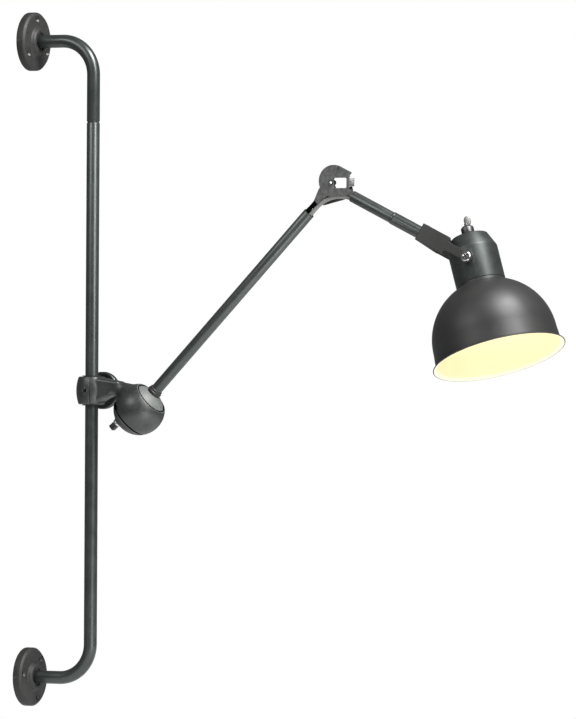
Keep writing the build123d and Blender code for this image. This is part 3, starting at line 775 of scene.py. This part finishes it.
def neck_piece():
    """Neck between the front jaw and the ball housing."""
    x = sections[0][0]
    low, high, wide = (between(x, k) for k in (1, 2, 3))
    ring = [(x, y, z) for y, z in box_outline(-wide, wide, low, high, 5.0)]
    piece = chain("neck", ring + ring[:1])
    bpy.ops.mesh.remove_doubles(threshold=weld)
    take_all()
    bpy.ops.mesh.edge_face_add()
    for step in (4,) * 12:
        x += step
        new_low, new_high, new_wide = (between(x, k) for k in (1, 2, 3))
        pull(step, 0, (new_low + new_high - low - high) / 2)
        bpy.ops.transform.resize(value=(1, new_wide / wide, (new_high - new_low) / (high - low)),
                                 center_override=Vector((x, 0, (new_low + new_high) / 2)) * MM)
        low, high, wide = new_low, new_high, new_wide
    tidy_skin()
    closed()
    return piece


def zone(name, r, low, high):
    """Solid slice of a ball between two heights."""
    only()
    bpy.ops.mesh.primitive_uv_sphere_add(segments=96, ring_count=64, radius=r * MM)
    piece = opened(name)
    if high < r:
        bpy.ops.mesh.bisect(plane_co=(0, 0, high * MM), plane_no=(0, 0, 1), use_fill=True, clear_outer=True)
    if low > -r:
        take_all()
        bpy.ops.mesh.bisect(plane_co=(0, 0, low * MM), plane_no=(0, 0, -1), use_fill=True, clear_outer=True)
    closed()
    return piece


bracket = barrel("bracket_casting", 4.0)
split(bracket, jaw_split, False)
neck = neck_piece()
place(bracket, clamp)
place(neck, clamp)
trim_top = place(rod("trim_top", 60, lip_plane, 90), house)
trim_low = place(rod("trim_low", 33, -90, groove_plane), house)
cut(neck, trim_top, trim_low)
housing = place(zone("housing", housing_r, groove_plane - 1, lip_plane + 1), house)
join(bracket, neck, housing)
modify(bracket, "REMESH", mode="VOXEL", voxel_size=0.7 * MM, use_smooth_shade=True)
modify(bracket, "SMOOTH", factor=0.5, iterations=6)
back = (clamp_at - ball_at).normalized()


def at_root(c):
    """True where the neck runs into the ball housing."""
    out = c - ball_at
    return out.length < 43 and out.normalized().dot(back) > 0.5


reopen(bracket)
pick(bracket, "VERT", lambda c, n: at_root(c))
bpy.ops.mesh.vertices_smooth(factor=0.5, repeat=250)
closed()
socket = place(zone("socket", socket_r, -40, 40), house)
bore = place(rod("bore", collar_bore_r, -40, 40, 64), clamp)
clean_top = place(rod("clean_top", 60, lip_plane, 90, 96), house)
clean_low = place(rod("clean_low", 33, -60, groove_plane, 96), house)
lip_in = math.sqrt(socket_r ** 2 - lip_plane ** 2)
lip_out = math.sqrt(housing_r ** 2 - lip_plane ** 2)
gap_low = lip_plane - 1.6
gap_high = lip_plane + 1
lip_gap = turned("lip_gap", [(lip_in - 1, gap_low), (lip_in + 0.9, gap_low), (lip_in + 1.1, gap_high),
                             (lip_in - 1, gap_high), (lip_in - 1, gap_low)], 96)
place(lip_gap, house)
cut(bracket, socket, bore, clean_top, clean_low, lip_gap)
soft_shade(bracket, 50)


def at_lip(c):
    """True on the recessed ring between the housing's lip and the ball."""
    local = house.inverted() @ (c * MM) / MM
    return local.z > lip_plane - 1.8 and lip_in - 1.2 < local.xy.length < lip_out - 0.5


# Painted shade: the recessed ring between the housing's lip and the ball is painted near-black
two_tone(bracket, cast_coat, painted_shade, lambda c, n: at_lip(c))
dressed(bracket, "bracket", "clamp_bracket")

# The lip ring takes the lighter ball coat: a painted highlight along the lip's edge
lip = turned("housing_lip", arc(lip_out - 0.5, lip_plane - 0.45, 0.55, 0, 360, 16), 128)
fitted(lip, house, "bracket", None, ball_coat)
# Thin near-black ring on the lip plane beside the ball: painted shade in the gap, no real part
painted_lip_shade = turned("lip_shade_torus", arc(lip_in + 0.75, lip_plane + 0.15, 0.65, 0, 360, 12), 128)
fitted(painted_lip_shade, house, "bracket", None, painted_shade)

knob = turned("clamp_knob_grip", [(0, 24.9), (11, 24.9), (11, 26.1), (18, 26.1), (18, 24.9), (21.8, 24.9),
                                  (23, 26.1), (23, 26.6), (23, 32.2), (23, 32.6), (21, 34.4), (9, 34.4),
                                  (7, 36.4), (0, 36.4)], 216)
fluted(knob, 23, 5 / 3, 6, 0.966, 26.4, 32.4)
round_edges(knob, 0.35, 2, 40)
# The knob's rim takes the lighter, glossier tube coat: a painted highlight for the light the rim catches
two_tone(knob, knob_plastic, tube_coat, lambda c, n: c.xy.length > 21.9 and c.z < 33)
soft_shade(knob, 30)
place(across(knob), clamp)
dressed(knob, "knob", "clamp_knob")

# Ball joint
pole = math.degrees(math.acos(7.4 / ball_r))
ball = turned("ball_top", [(24.5, 0)] + arc(0, 0, ball_r, 0, pole, 40)
              + [(7.15, 28.0), (7.15, 10), (10.5, 10), (10.5, 22)] + arc(0, 0, 24.5, 64, 0, 16), 96)
fitted(ball, low_arm, "ball", "ball_upper", ball_coat, angle=35)

cap_top = groove_plane - groove_w - 0.9
spigot_r = 30.43
edge_a = math.degrees(math.asin(cap_top / housing_r))
spig_a = math.degrees(math.asin(cap_top / spigot_r))
in_a = math.degrees(math.asin((groove_plane + spigot_len) / socket_r))
out_a = math.degrees(math.asin((groove_plane + spigot_len) / spigot_r))
ball_base = turned("ball_cap_casting", arc(0, 0, socket_r, -90, in_a, 24)
                   + arc(0, 0, spigot_r, out_a, spig_a, 4)
                   + arc(0, 0, housing_r, edge_a, -90, 32), 96)
tension_off = moved(6.4, 0, 0)
tension_at = house @ tension_off
screw_boss = rod("screw_boss", 6.0, -32.4, -24, 48)
place(screw_boss, tension_off)
clear_ball = zone("clear_ball", socket_r, -40, 40)
cut(screw_boss, clear_ball)
join(ball_base, screw_boss)
round_edges(ball_base, 0.45, 3, 40)
# Painted shade: the groove between the cap and the housing is painted near-black
two_tone(ball_base, cast_coat, painted_shade,
         lambda c, n: 29.9 < c.length < housing_r - 0.3 and c.z > cap_top - 0.35)
fitted(ball_base, house, "bracket", "ball_cap")

tension_ring = hoop("tension_washer_ring", 2.6, 5.4, -35.1, -32.5, 48)
round_edges(tension_ring, 0.5, 3)
fitted(tension_ring, tension_at, "bracket", "tension_washer", zinc_plate)
tension = block("tension_square", -3.75, 3.75, -3.75, 3.75, -44.0, -35.2)
join(tension, rod("shank", 2.5, -36, -29.2, 32))
round_edges(tension, 0.8, 3)
fitted(tension, tension_at, "tension", "tension_screw", black_steel_and_painted_shade)

fz = ball_r + 0.3
ferrule = turned("arm_ferrule_ring", [(7.02, fz), (9.0, fz), (9.0, fz + 2.2), (8.1, fz + 2.6),
                                      (8.1, fz + 5.0), (7.5, fz + 5.6), (7.02, fz + 5.6), (7.02, fz)], 72)
round_edges(ferrule, 0.35, 2, 30)
fitted(ferrule, low_arm, "lower_arm", "arm_ferrule", black_steel_and_painted_shade)


# Arms
def arm_tube(name, low, high, matrix, body, node):
    """Straight arm tube with its wall."""
    only()
    bpy.ops.mesh.primitive_circle_add(vertices=64, radius=arm_r * MM, location=(0, 0, low * MM))
    piece = opened(name)
    pull(0, 0, high - low)
    tidy_skin()
    closed()
    place(piece, piece.matrix_world.copy())
    modify(piece, "SOLIDIFY", thickness=arm_wall * MM, offset=-1)
    round_edges(piece, 0.4, 2, 50)
    return fitted(piece, matrix, body, node, tube_coat)


low_tube_end = low_foot - 47.5
up_tube_start = up_foot + 31.5
arm_tube("lower_arm_pipe", 3.5, low_tube_end, low_arm, "lower_arm", "lower_arm_tube")
arm_tube("upper_arm_pipe", up_tube_start, upper_len - 62.4, up_arm, "upper_arm", "upper_arm_tube")


# Elbow
def low_point(along, side):
    """Place on the elbow from steps along and beside the lower arm."""
    return (along * low_dir.x + side * low_side.x, along * low_dir.z + side * low_side.z)


def up_point(along, side):
    """Place on the elbow from steps along and beside the upper arm."""
    return (along * up_dir.x + side * up_side.x, along * up_dir.z + side * up_side.z)


flex_line = -pivot_rise - 2.6
flex_r = 2.75
both_sides = Vector((low_side.x + up_side.x, low_side.z + up_side.z))
flex_meet = both_sides * (flex_line * bend_share)
half_turn = math.radians(180 - 46.2 - 26.2) / 2
flex_bend = 45.0
bend_mid = flex_meet - both_sides.normalized() * (flex_bend / math.sin(half_turn))
clear_r = flex_bend + flex_r + 0.55
flex_edge = flex_line + flex_r + 0.55
plate_low = half_gap
plate_high = half_gap + plate_t
far_face = half_gap + far_plate_t
bar_face = half_gap + bar_t
cover = 2.8


def flex_room(low, high, r=clear_r):
    """Round cutter under the plates, where the flex passes."""
    tool = rod("flex_room", r, low, high, 160)
    return place(tool, moved(bend_mid.x, bend_mid.y, 0))


def under_low(low, high, edge):
    """Cutter beside the straight run of the flex on the lower arm."""
    return slab("under_low", [low_point(-90, edge), low_point(-20, edge), low_point(-20, -30),
                              low_point(-90, -30)], low, high)


def half_tongue(low, high, matrix):
    """Half-round tongue that plugs into an arm tube."""
    tool = rod("tongue", 5.69, low, high)
    cut(tool, block("tongue_flat", -9, 0.7, -9, 9, low - 1, high + 1))
    return place(tool, elbow.inverted() @ matrix)


knuckle = rod("elbow_near_plate", 19.4, plate_low, plate_high, 128)
place(knuckle, moved(2.8, 1.9, 0))
tangent = (2.8 + 19.4 * up_side.x, 1.9 + 19.4 * up_side.z)
beak = slab("beak", [(2.8, 1.9), tangent, (26.3, 11.9), (23.6, 8.8), (23.4, 7.5), (23.4, -7.7), (28.0, -9.7),
                     (26.6, -15.4), (2.8, -17)], plate_low, plate_high)
tail = slab("tail", [low_point(0, 9), low_point(-17.1, 6.6), low_point(-32.0, 1.4), low_point(-47.5, 1.4),
                     low_point(-47.5, flex_edge), low_point(-10, flex_edge - 6)], plate_low, plate_high)
join(knuckle, beak, tail)
window = slab("window", box_outline(2.6, 20.4, -6.7, 5.7, 1.6), plate_low - 1, plate_high + 1)
cut(knuckle, flex_room(-9, 2.85), under_low(-9, 2.85, flex_edge), window)
cut(knuckle, flex_room(-9, 9, clear_r - cover), under_low(-9, 9, flex_edge - cover))
flat_faces(knuckle)
round_edges(knuckle, 0.3, 3, 40)
join(knuckle, half_tongue(low_tube_end - 15, low_tube_end + 4, low_arm))
tail_from = -31.0
reopen(knuckle)
take_all()
bpy.ops.mesh.bisect(plane_co=Vector(low_point(tail_from, 0)).to_3d() * MM,
                    plane_no=(low_dir.x, low_dir.z, 0))
closed()
# Painted shade: the plate's tail, past tail_from towards the lower arm tube, is painted near-black
two_tone(knuckle, plate_coat, painted_shade, lambda c, n: c.x * low_dir.x + c.y * low_dir.z < tail_from)
fitted(knuckle, elbow, "lower_arm", "elbow_lower_knuckle", angle=12)

bar_high = -pivot_rise + 5.09
bar_low = -pivot_rise + 0.7


def lever_slab(name, low, high):
    """Outline of the far knuckle between two depths."""
    return slab(name, [(-3.2, 0), (2.5, 0), (2.5, -7.6), (20.5, -7.6), up_point(31.5, bar_high),
                       up_point(31.5, bar_low), (18, -17), (-3, -17)], low, high)


lever = lever_slab("elbow_far_plate", -far_face, -plate_low)
join(lever, rod("lever_eye", 3.2, -far_face, -plate_low, 64))
lever_bar = lever_slab("lever_bar", -bar_face, -plate_low)
cut(lever_bar, block("eye_room", -60, 60, -4.4, 60, -bar_face - 1, 1))
join(lever, lever_bar)
cut(lever, flex_room(-9, 9))
skirt = rod("skirt", clear_r + 2.5, -bar_face, 1.8 - bar_face, 160)
place(skirt, moved(bend_mid.x, bend_mid.y, 0))
skirt_up = Vector((-math.sin(math.radians(14)), math.cos(math.radians(14))))
skirt_along = Vector((skirt_up.y, -skirt_up.x)) * 60
skirt_line = bend_mid + skirt_up * (flex_bend - flex_r - 3.0)
skirt_far = bend_mid - skirt_up * 60
cut(skirt, slab("skirt_room", [tuple(skirt_line - skirt_along), tuple(skirt_line + skirt_along),
                               tuple(skirt_far + skirt_along), tuple(skirt_far - skirt_along)], -9, 9))
skirt_zone = block("skirt_zone", -13.5, 14.5, -45, -5, -bar_face - 1, 3 - bar_face)
bool_step(skirt, (skirt_zone,), "INTERSECT")
join(lever, skirt)
flat_faces(lever)
round_edges(lever, 0.45, 3, 40)
join(lever, half_tongue(up_tube_start - 1, up_tube_start + 15, up_arm))
fitted(lever, elbow, "upper_arm", "elbow_upper_knuckle", plate_coat, angle=12)

pivot = turned("elbow_pivot_pin", [(0, -4.3), (1.8, -4.3), (1.8, 3.6), (3.0, 3.6), (3.0, 4.6), (1.7, 4.6),
                                   (1.6, 4.3), (1.0, 4.75), (0, 4.9)], 64)
round_edges(pivot, 0.25, 3, 60)
# The pin's centre is painted near-white: a painted highlight for the glint on its end
two_tone(pivot, black_steel_and_painted_shade, pin_painted_glint, lambda c, n: c.xy.length < 1.66 and c.z > 4)
fitted(pivot, elbow, "lower_arm", "elbow_pivot")
nut = hoop("elbow_ring_nut", 1.8, 3.4, -4.3, -2.9, 64)
round_edges(nut, 0.3, 2)
fitted(nut, elbow, "lower_arm", "elbow_nut", black_steel_and_painted_shade)
stop = block("elbow_stop_block", 23.4, 25.2, -6.2, 6.2, 0.4, 3.4)
join(stop, block("stop_end", 24.4, 29.6, -5.2, 5.2, 0.4, 3.4))
round_edges(stop, 0.5, 3)
fitted(stop, elbow @ moved(0, 0.4, 0), "lower_arm", "elbow_stop_screw", zinc_plate)

# Flex that crosses the elbow
low_2d = Vector((low_dir.x, low_dir.z))
up_2d = Vector((up_dir.x, up_dir.z))
run_in = Vector(low_point(-55.5, flex_line))
run_out = Vector(up_point(41.5, flex_line))
bend_run = flex_bend / math.tan(half_turn)
handle = flex_bend * 4 / 3 * math.tan((math.pi / 2 - half_turn) / 2)
bend_in = flex_meet - low_2d * bend_run
bend_out = flex_meet + up_2d * bend_run
stations = ((run_in, low_2d, 4), (bend_in, low_2d, handle), (bend_out, up_2d, handle), (run_out, up_2d, 4))
only()
bpy.ops.curve.primitive_bezier_curve_add()
flex = bpy.context.object
flex.name = "elbow_flex"
line = flex.data.splines[0]
line.bezier_points.add(len(stations) - len(line.bezier_points))
for point, (at, along, reach) in zip(line.bezier_points, stations):
    point.handle_left_type = "FREE"
    point.handle_right_type = "FREE"
    point.co = elbow @ (at.to_3d() * MM)
    point.handle_left = elbow @ ((at - along * reach).to_3d() * MM)
    point.handle_right = elbow @ ((at + along * reach).to_3d() * MM)
flex.data.resolution_u = 32
flex.data.dimensions = "3D"
flex.data.bevel_depth = flex_r * MM
flex.data.bevel_resolution = 10
flex.data.use_fill_caps = True
only(flex)
bpy.ops.object.convert(target="MESH")
flex = bpy.context.object
soft_shade(flex, 50)
flex.data.materials.clear()
flex.data.materials.append(flex_sheath)
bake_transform(flex)
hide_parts("elbow_cable")

# Fork
swivel_ring = turned("swivel_ring_bush", [(7.02, -122.8), (7.3, -122.8), (7.7, -121.4), (7.7, -119.3),
                                          (7.02, -119.3), (7.02, -122.8)], 64)
round_edges(swivel_ring, 0.2, 2)
fitted(swivel_ring, fork_seat, "upper_arm", "swivel_ring", tube_coat)


web_outer = 70
web_inner = 62
cheek_in = 31.1
cheek_out = 35.1
fork_half = 11
prong_half = 5.3
prong_from = -29.5
prong_end_r = 7.0


def fork_cheek(side):
    """Side plate of the fork, wide at the web and narrow to the pivot."""
    reach = math.degrees(math.asin(prong_half / prong_end_r))
    right_side = [(fork_half, -web_outer), (fork_half, prong_from), (prong_half, prong_from),
                  (prong_half, -6)]
    left_side = [(-x, z) for x, z in reversed(right_side)]
    outline = [(-fork_half, -web_outer), (fork_half, -web_outer)] + eased(right_side, 2.2)[6:18]
    outline += arc(0, 0, prong_end_r, -90 + reach, 270 - reach, 24)
    outline += eased(left_side, 2.2)[6:18]
    low, high = sorted((side * cheek_in, side * cheek_out))
    piece = slab("cheek", outline, low, high)
    return place(piece, rolled(90, "X"))


fork = block("fork_yoke", -fork_half, fork_half, -cheek_out, cheek_out, -web_outer, -web_inner)
join(fork, fork_cheek(1), fork_cheek(-1))
flat_faces(fork)
reopen(fork)
pick(fork, "EDGE", lambda c, d: abs(c.z + web_outer) < 0.01
     and abs(abs(c.y) - cheek_out) < 0.01)
bpy.ops.mesh.bevel(offset=3.0 * MM, segments=5, affect="EDGES")
closed()
round_edges(fork, 0.55, 3, 40)
join(fork, rod("sleeve", 7.7, -119.0, -69, 64))
cut(fork, rod("sleeve_bore", 7.06, -130, -60, 64), across(rod("pivot_bore", 2.6, -40, 40, 32)))
round_edges(fork, 0.2, 2, 50)
two_tone(fork, plate_coat, tube_coat, lambda c, n: c.z < -69.9 and c.xy.length < 7.8)
fitted(fork, fork_seat, "fork", "fork", angle=12)

# Lamp head
cap = turned("lamp_cap_shell", [(5, 33), (22, 33), (30, 15), (30, -27), (28, -27), (28, 14.5), (20.4, 31),
                                (5, 31), (5, 33)], 128)
round_edges(cap, 1.3, 4, 18)
for side in (1, -1):
    pad = rod("pad", 6.8, 23.5, 30.3, 48)
    join(cap, place(pad, rolled(-90 * side, "X")))
round_edges(cap, 0.3, 2, 50)
fitted(cap, lamp, "head", "lamp_cap", cap_coat)

dome_r = 75.0
dome_at = -98.7
wall = 1.2
skirt_r = 76.4
rim_r = 80.8
rim_z = -120.7
neck_out = math.degrees(math.acos(29.6 / dome_r))
neck_in = math.degrees(math.acos(28.4 / (dome_r - wall)))
shade = turned("shade_spinning", [(19.8, -21), (27.98, -21), (27.98, -27.05), (29.6, -27.05)]
               + arc(0, dome_at, dome_r, neck_out, 0, 40)
               + [(skirt_r, rim_z + 3.2), (rim_r - 0.7, rim_z + 1.3)]
               + arc(rim_r - 0.6, rim_z + 0.6, 0.6, 90, -90, 6)
               + [(rim_r - 1.2, rim_z + 0.1), (skirt_r - wall, rim_z + 2.6)]
               + arc(0, dome_at, dome_r - wall, 0, neck_in, 40)
               + [(28.0, -22.2), (19.8, -22.2), (19.8, -21)], 160)
for finish in (shade_coat, enamel_with_painted_glow, black_steel_and_painted_shade):
    shade.data.materials.append(finish)
reopen(shade)
inside_from = Vector((0, 0, -128.7))
# The inside takes the enamel with its painted glow
paint_faces(shade, 1, lambda c, n: n.dot(c - inside_from) < 0 and c.xy.length < rim_r - 1.0 and c.z < -22)
paint_faces(shade, 2, lambda c, n: c.xy.length > rim_r - 0.75)
closed()
fitted(shade, lamp, "head", "shade", angle=30)


def pivot_screw(name, side, node):
    """Round-headed screw with a cross recess."""
    turns = [math.radians(a) for a in range(0, 91, 9)]
    dome = [(6.4 * math.cos(a), 37.0 + 2.6 * math.sin(a)) for a in turns]
    piece = turned(name, [(0, 36), (6.4, 36)] + dome, 64)
    for wide, deep in ((3.6, 0.8), (0.8, 3.6)):
        cut(piece, block("slot", -wide, wide, -deep, deep, 37.9, 42))
    join(piece, rod("screw_shank", 2.5, 24, 36.5, 32))
    round_edges(piece, 0.15, 2, 50)
    # Painted shade: the cross recess is painted near-black
    two_tone(piece, chrome_plate, black_steel_and_painted_shade, lambda c, n: c.z > 37.8 and max(abs(c.x), abs(c.y)) < 3.7
             and min(abs(c.x), abs(c.y)) < 0.82)
    place(piece, rolled(20, "Z"))
    return fitted(piece, lamp @ rolled(-90 * side, "X"), "head", node)


pivot_screw("near_cross_screw", 1, "near_pivot_screw")
pivot_screw("far_cross_screw", -1, "far_pivot_screw")


def washer_pair(name, r_in, r_out, low, high, node, finish):
    """Pair of washers on the two pivot screws."""
    pair = []
    for side in (1, -1):
        piece = hoop(name, r_in, r_out, low, high, 48)
        round_edges(piece, min(0.3, (high - low) * 0.4), 2)
        place(soft_shade(piece), lamp @ rolled(-90 * side, "X"))
        pair.append(piece)
    only(pair[0])
    pair[1].select_set(True)
    bpy.ops.object.join()
    return dressed(pair[0], "head", node, finish)


washer_pair("screw_washer_pair", 2.6, 7.8, 35.2, 36.0, "screw_washers", holder_plastic)
washer_pair("pivot_washer_pair", 2.6, 6.8, 30.3, 31.0, "pivot_washers", liner_plastic)

# Lampholder and bulb, seen from below
socket_cup = turned("lampholder_cup", [(13.9, -26), (19.5, -26), (19.5, -21), (22.5, -21), (22.5, -16),
                                       (19.5, -16), (19.5, 25), (14, 25), (14, 31), (3.2, 31), (3.2, 2),
                                       (13.9, 2), (13.9, -26)], 72)
round_edges(socket_cup, 0.5, 2, 40)
fitted(socket_cup, lamp, "head", "lampholder", holder_plastic)
grip_ring = hoop("shade_ring_nut", 19.52, 24, -26.5, -22.2, 144)
fluted(grip_ring, 24, 2.5, 4, 0.965)
round_edges(grip_ring, 0.3, 2, 40)
fitted(grip_ring, lamp, "head", "shade_ring", holder_plastic, angle=30)

bulb_r = 22.5
bulb_neck_r = 13.0
neck_end = -31.0
glass_mid = -88.0 + bulb_r
shoulder = glass_mid + bulb_r * math.sqrt(1 - 0.86 ** 2)
start_a = math.degrees(math.acos(0.86))
neck_line = []
for i in range(13):
    t = i / 12
    neck_line.append((bulb_neck_r + (19.35 - bulb_neck_r) * (t ** 1.7), neck_end + (shoulder - neck_end) * t))
glass = turned("bulb_envelope", [(0, -26.5), (bulb_neck_r, -26.5)] + neck_line
               + arc(0, glass_mid, bulb_r, start_a, -90, 32), 96)
fitted(glass, lamp, "head", "bulb_glass", lit_glass, angle=60)

# Rotary switch on the cap
switch_ring = hoop("switch_ring_nut", 5.0, 8.2, 33, 37.4, 96)
fluted(switch_ring, 8.2, 3.75, 4, 0.95)
round_edges(switch_ring, 0.3, 2, 40)
fitted(switch_ring, lamp, "head", "switch_nut", black_steel_and_painted_shade, angle=30)
switch_bush = turned("switch_bush", [(2.56, 31), (4.98, 31), (4.98, 37.4), (7.8, 37.4), (7.8, 44.4),
                                     (5.4, 46.8), (2.56, 46.8), (2.56, 31)], 64)
round_edges(switch_bush, 0.6, 3, 30)
fitted(switch_bush, lamp, "head", "switch_collar", dull_metal)
leaf_off = -2.4
leaf = []
for a in range(0, 360, 9):
    leaf.append((leaf_off + 4.2 * math.cos(math.radians(a)), 53.1 + 6.0 * math.sin(math.radians(a))))
key = slab("switch_key_leaf", leaf, -1.7, 1.7)
round_edges(key, 1.1, 4, 60)
place(key, rolled(90, "X"))
join(key, rod("key_stem", 2.5, 37.4, 50.1, 32))
fitted(key, lamp @ rolled(24, "Z"), "switch", "switch_key", dull_metal, angle=45)


# Floor, light and camera
only()
bpy.ops.mesh.primitive_circle_add(vertices=96, radius=1.2, fill_type="NGON", location=(0.35, 0, -0.12))
floor = bpy.context.object
floor.name = "floor"
floor_paint, _, floor_shader = new_material("floor_paint")
floor_shader.inputs["Base Color"].default_value = (0.86, 0.86, 0.86, 1)
floor_shader.inputs["Roughness"].default_value = 0.8
floor.data.materials.append(floor_paint)

world = bpy.data.worlds.new("studio")
bpy.context.scene.world = world
world.use_nodes = True
sky = world.node_tree
for node in list(sky.nodes):
    sky.nodes.remove(node)
ray = add(sky, "ShaderNodeLightPath")
seen = add(sky, "ShaderNodeMath", operation="MAXIMUM")
seen_all = add(sky, "ShaderNodeMath", operation="MAXIMUM")
sky.links.new(ray.outputs["Is Camera Ray"], seen.inputs[0])
sky.links.new(ray.outputs["Is Transmission Ray"], seen.inputs[1])
sky.links.new(seen.outputs["Value"], seen_all.inputs[0])
dim = add(sky, "ShaderNodeMath", operation="MULTIPLY")
dim.inputs[1].default_value = 0.06
sky.links.new(ray.outputs["Is Glossy Ray"], dim.inputs[0])
sky.links.new(dim.outputs["Value"], seen_all.inputs[1])
fill = add(sky, "ShaderNodeBackground")
fill.inputs["Color"].default_value = (0.95, 0.97, 1.0, 1)
fill.inputs["Strength"].default_value = 0.15
white = add(sky, "ShaderNodeBackground")
white.inputs["Color"].default_value = (1, 1, 1, 1)
white.inputs["Strength"].default_value = 1.0
mix_sky = add(sky, "ShaderNodeMixShader")
sky_out = add(sky, "ShaderNodeOutputWorld")
sky.links.new(seen_all.outputs["Value"], mix_sky.inputs["Fac"])
sky.links.new(fill.outputs["Background"], mix_sky.inputs[1])
sky.links.new(white.outputs["Background"], mix_sky.inputs[2])
sky.links.new(mix_sky.outputs["Shader"], sky_out.inputs["Surface"])


def soft_light(name, at, target, wide, tall, power):
    """Soft light with a wide and a tall side, aimed at a point."""
    only()
    bpy.ops.object.light_add(type="AREA", location=at)
    lamp_box = bpy.context.object
    lamp_box.name = name
    lamp_box.data.shape = "RECTANGLE"
    lamp_box.data.size = wide
    lamp_box.data.size_y = tall
    lamp_box.data.energy = power
    aim = Vector(target) - Vector(at)
    lamp_box.rotation_euler = aim.to_track_quat("-Z", "Y").to_euler()
    return lamp_box


middle = (0.35, 0.0, 0.4)
soft_light("key_light", (2.5, -0.85, 1.75), middle, 0.8, 1.7, 50)
soft_light("top_light", (1.3, -0.25, 1.95), (0.6, 0.0, 0.4), 0.7, 0.7, 50)
soft_light("left_light", (-0.4, -1.7, 1.6), middle, 1.0, 0.6, 12)
soft_light("low_light", (1.0, -0.55, -0.06), (0.2, 0.0, 0.35), 0.5, 0.3, 2.6)

view_turn = math.radians(26.0)
look = Vector((-math.sin(view_turn), math.cos(view_turn), 0))
right = Vector((math.cos(view_turn), math.sin(view_turn), 0))
roll = math.radians(0.33)
cam_x = right * math.cos(roll) + z_axis * math.sin(roll)
cam_y = z_axis * math.cos(roll) - right * math.sin(roll)
cam_turn = Matrix((cam_x, cam_y, -look)).transposed().to_4x4()
eye = Vector((3.8115, -7.0849, 0.3924))
only()
bpy.ops.object.camera_add(location=eye)
camera = bpy.context.object
camera.name = "camera"
camera.matrix_world = Matrix.Translation(eye) @ cam_turn
camera.data.sensor_width = 36.0
camera.data.lens = 6525.0 / 719.0 * 36.0
camera.data.clip_end = 100.0
bpy.context.scene.camera = camera
bpy.context.scene.view_settings.view_transform = "Standard"
